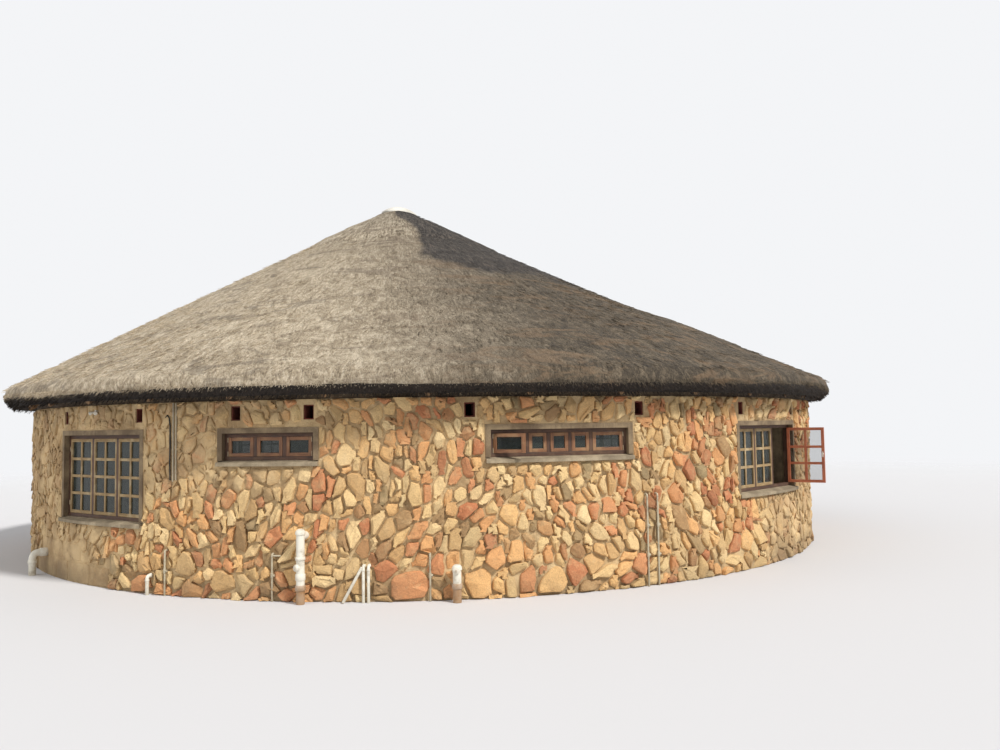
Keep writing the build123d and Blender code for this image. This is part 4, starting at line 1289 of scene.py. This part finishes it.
def boarded_door():
    """Upright boards with open joints on three ledges, in a planed frame."""
    bearing, width, top = DOOR
    origin, along, out = face_of(bearing, width, 0.0)
    half = width / 2
    jambs = Timber(origin, along, out)
    jambs.member(-half, half, top - FRAME_W, top, 0.0, FRAME_D)
    for x in (-half, half - FRAME_W):
        jambs.member(x, x + FRAME_W, DOOR_FOOT, top - FRAME_W, 0.001, FRAME_D - 0.001)
    jambs.laid("door_frame_planed", frame_wood, "door_frame")
    reach = sqrt(WALL_R ** 2 - (width / 2) ** 2) - SET_BACK
    leaf = Timber(outward(bearing, reach - FIT, 0.0), along, out)
    left, right = FIT + FRAME_W - half, half - FRAME_W - FIT
    low, high = DOOR_FOOT + FIT, top - FRAME_W - FIT
    for i in range(6):
        x = left + (right - left) * i / 6
        leaf.member(x + 0.001, x + (right - left) / 6 - 0.001, low, high, 0.0, 0.032)
    for share in (0.1, 0.5, 0.9):
        z = low + (high - low) * share
        leaf.member(left + 0.03, right - 0.03, z - 0.065, z + 0.065, 0.032, 0.054)
    leaf.laid("door_boards", door_wood, "door_leaf")
    runs = Runs()
    knob = outward(bearing, reach - FIT, 1.05) + along * (right - 0.07)
    runs.collar(knob - out * 0.002, knob + out * 0.006, 0.026, along, 0.3)
    runs.collar(knob + out * 0.004, knob + out * 0.045, 0.01, along, 0.2)
    runs.collar(knob + out * 0.042, knob + out * 0.042 - along * 0.11, 0.009, UP, 0.2)
    for z in (0.35, 1.1, 1.85):
        pin = outward(bearing, reach + 0.003, z) + along * (left - 0.001)
        runs.collar(pin - Vector((0, 0, 0.05)), pin + Vector((0, 0, 0.05)), 0.007, along, 0.4)
    runs.laid("door_ironwork", pipe_steel, slot="galvanised_pipe")


waste_runs().laid("waste_pipes_round", pipe_white, "waste_pipes")
soil_run().laid("soil_pipe_round", pipe_white, "soil_pipe")
riser_runs().laid("water_risers_round", pipe_steel, "water_risers")
conduit_runs().laid("wall_conduits_round", pipe_grey, "wall_conduits")
cable_run().laid("black_cable", cable_black, slot="grey_conduit")
eave_lamp().laid("eave_lamp", pipe_white, slot="white_pvc")
hardware().laid("window_hinges", pipe_steel, slot="galvanised_pipe")
catches().laid("sash_catch", pipe_white, slot="white_pvc")
boarded_door()

# ---------------------------------------------------------------- camera, floor, light
CAMERA_AT, YAW, PITCH, ROLL = (0.0, -18.485, 2.17), 0.0773, 0.0596, -0.0150
FOCAL, FRAME_WIDTH, SENSOR = 861.3, 1000, 36.0      # focal length and frame in pixels, sensor in mm
FLOOR_R, FLOOR_COLOUR, FLOOR_FADE = 90, (206, 206, 208), (16.0, 42.0)
LAMPS = ((44, 46, 3.3, 7), (-55, 35, 0.7, 60))      # bearing, height, power, spread
SKY, SKY_LEVEL, BACKDROP_LEVEL = (0.97, 0.98, 1.0, 1.0), 0.5, 0.93


def aim_camera():
    forward = Vector((sin(YAW) * cos(PITCH), cos(YAW) * cos(PITCH), sin(PITCH)))
    right = Vector((cos(YAW), -sin(YAW), 0.0))
    up = right.cross(forward)
    right, up = cos(ROLL) * right + sin(ROLL) * up, -sin(ROLL) * right + cos(ROLL) * up
    data = bpy.data.cameras.new("camera")
    camera = bpy.data.objects.new("camera", data)
    bpy.context.collection.objects.link(camera)
    turn = Matrix((right, up, -forward)).transposed()
    camera.matrix_world = Matrix.Translation(CAMERA_AT) @ turn.to_4x4()
    data.sensor_width, data.lens, data.clip_end = SENSOR, FOCAL / FRAME_WIDTH * SENSOR, 400
    bpy.context.scene.camera = camera


def lay_floor():
    """Wide pale floor that fades into the backdrop."""
    bpy.ops.object.select_all(action="DESELECT")
    bpy.ops.mesh.primitive_circle_add(vertices=96, radius=FLOOR_R, fill_type="NGON", location=(0, 0, -0.001))
    ground = bpy.context.active_object
    ground.name = "floor"
    paint = Paint("pale floor", 0.9)
    paint.set(Base_Color=FLOOR_COLOUR, Alpha=1 - paint.reach().above(*FLOOR_FADE))
    ground.data.materials.append(paint.material)


def hang_lights():
    """Even light from all round with two soft suns; only the eye and gloss see the pale backdrop."""
    world = bpy.data.worlds.new("studio")
    bpy.context.scene.world = world
    world.use_nodes = True
    tree = world.node_tree
    back = tree.nodes["Background"]
    path = tree.nodes.new("ShaderNodeLightPath")
    seen = path.outputs["Is Camera Ray"]
    for ray in ("Is Glossy Ray", "Is Transmission Ray"):
        either = tree.nodes.new("ShaderNodeMath")
        either.operation = "MAXIMUM"
        tree.links.new(seen, either.inputs[0])
        tree.links.new(path.outputs[ray], either.inputs[1])
        seen = either.outputs[0]
    level = tree.nodes.new("ShaderNodeMapRange")
    tree.links.new(seen, level.inputs[0])
    level.inputs[3].default_value, level.inputs[4].default_value = SKY_LEVEL, BACKDROP_LEVEL
    tree.links.new(level.outputs[0], back.inputs[1])
    back.inputs[0].default_value = SKY
    for bearing, height, power, spread in LAMPS:
        lamp = bpy.data.lights.new("key", "SUN")
        lamp.energy, lamp.angle, lamp.color = power, radians(spread), (1.0, 0.975, 0.94)
        sun = bpy.data.objects.new("key", lamp)
        bpy.context.collection.objects.link(sun)
        towards = outward(bearing, cos(radians(height)), sin(radians(height)))
        sun.rotation_euler = towards.to_track_quat("Z", "Y").to_euler()


aim_camera()
lay_floor()
hang_lights()
bpy.context.scene.view_settings.view_transform = "Standard"
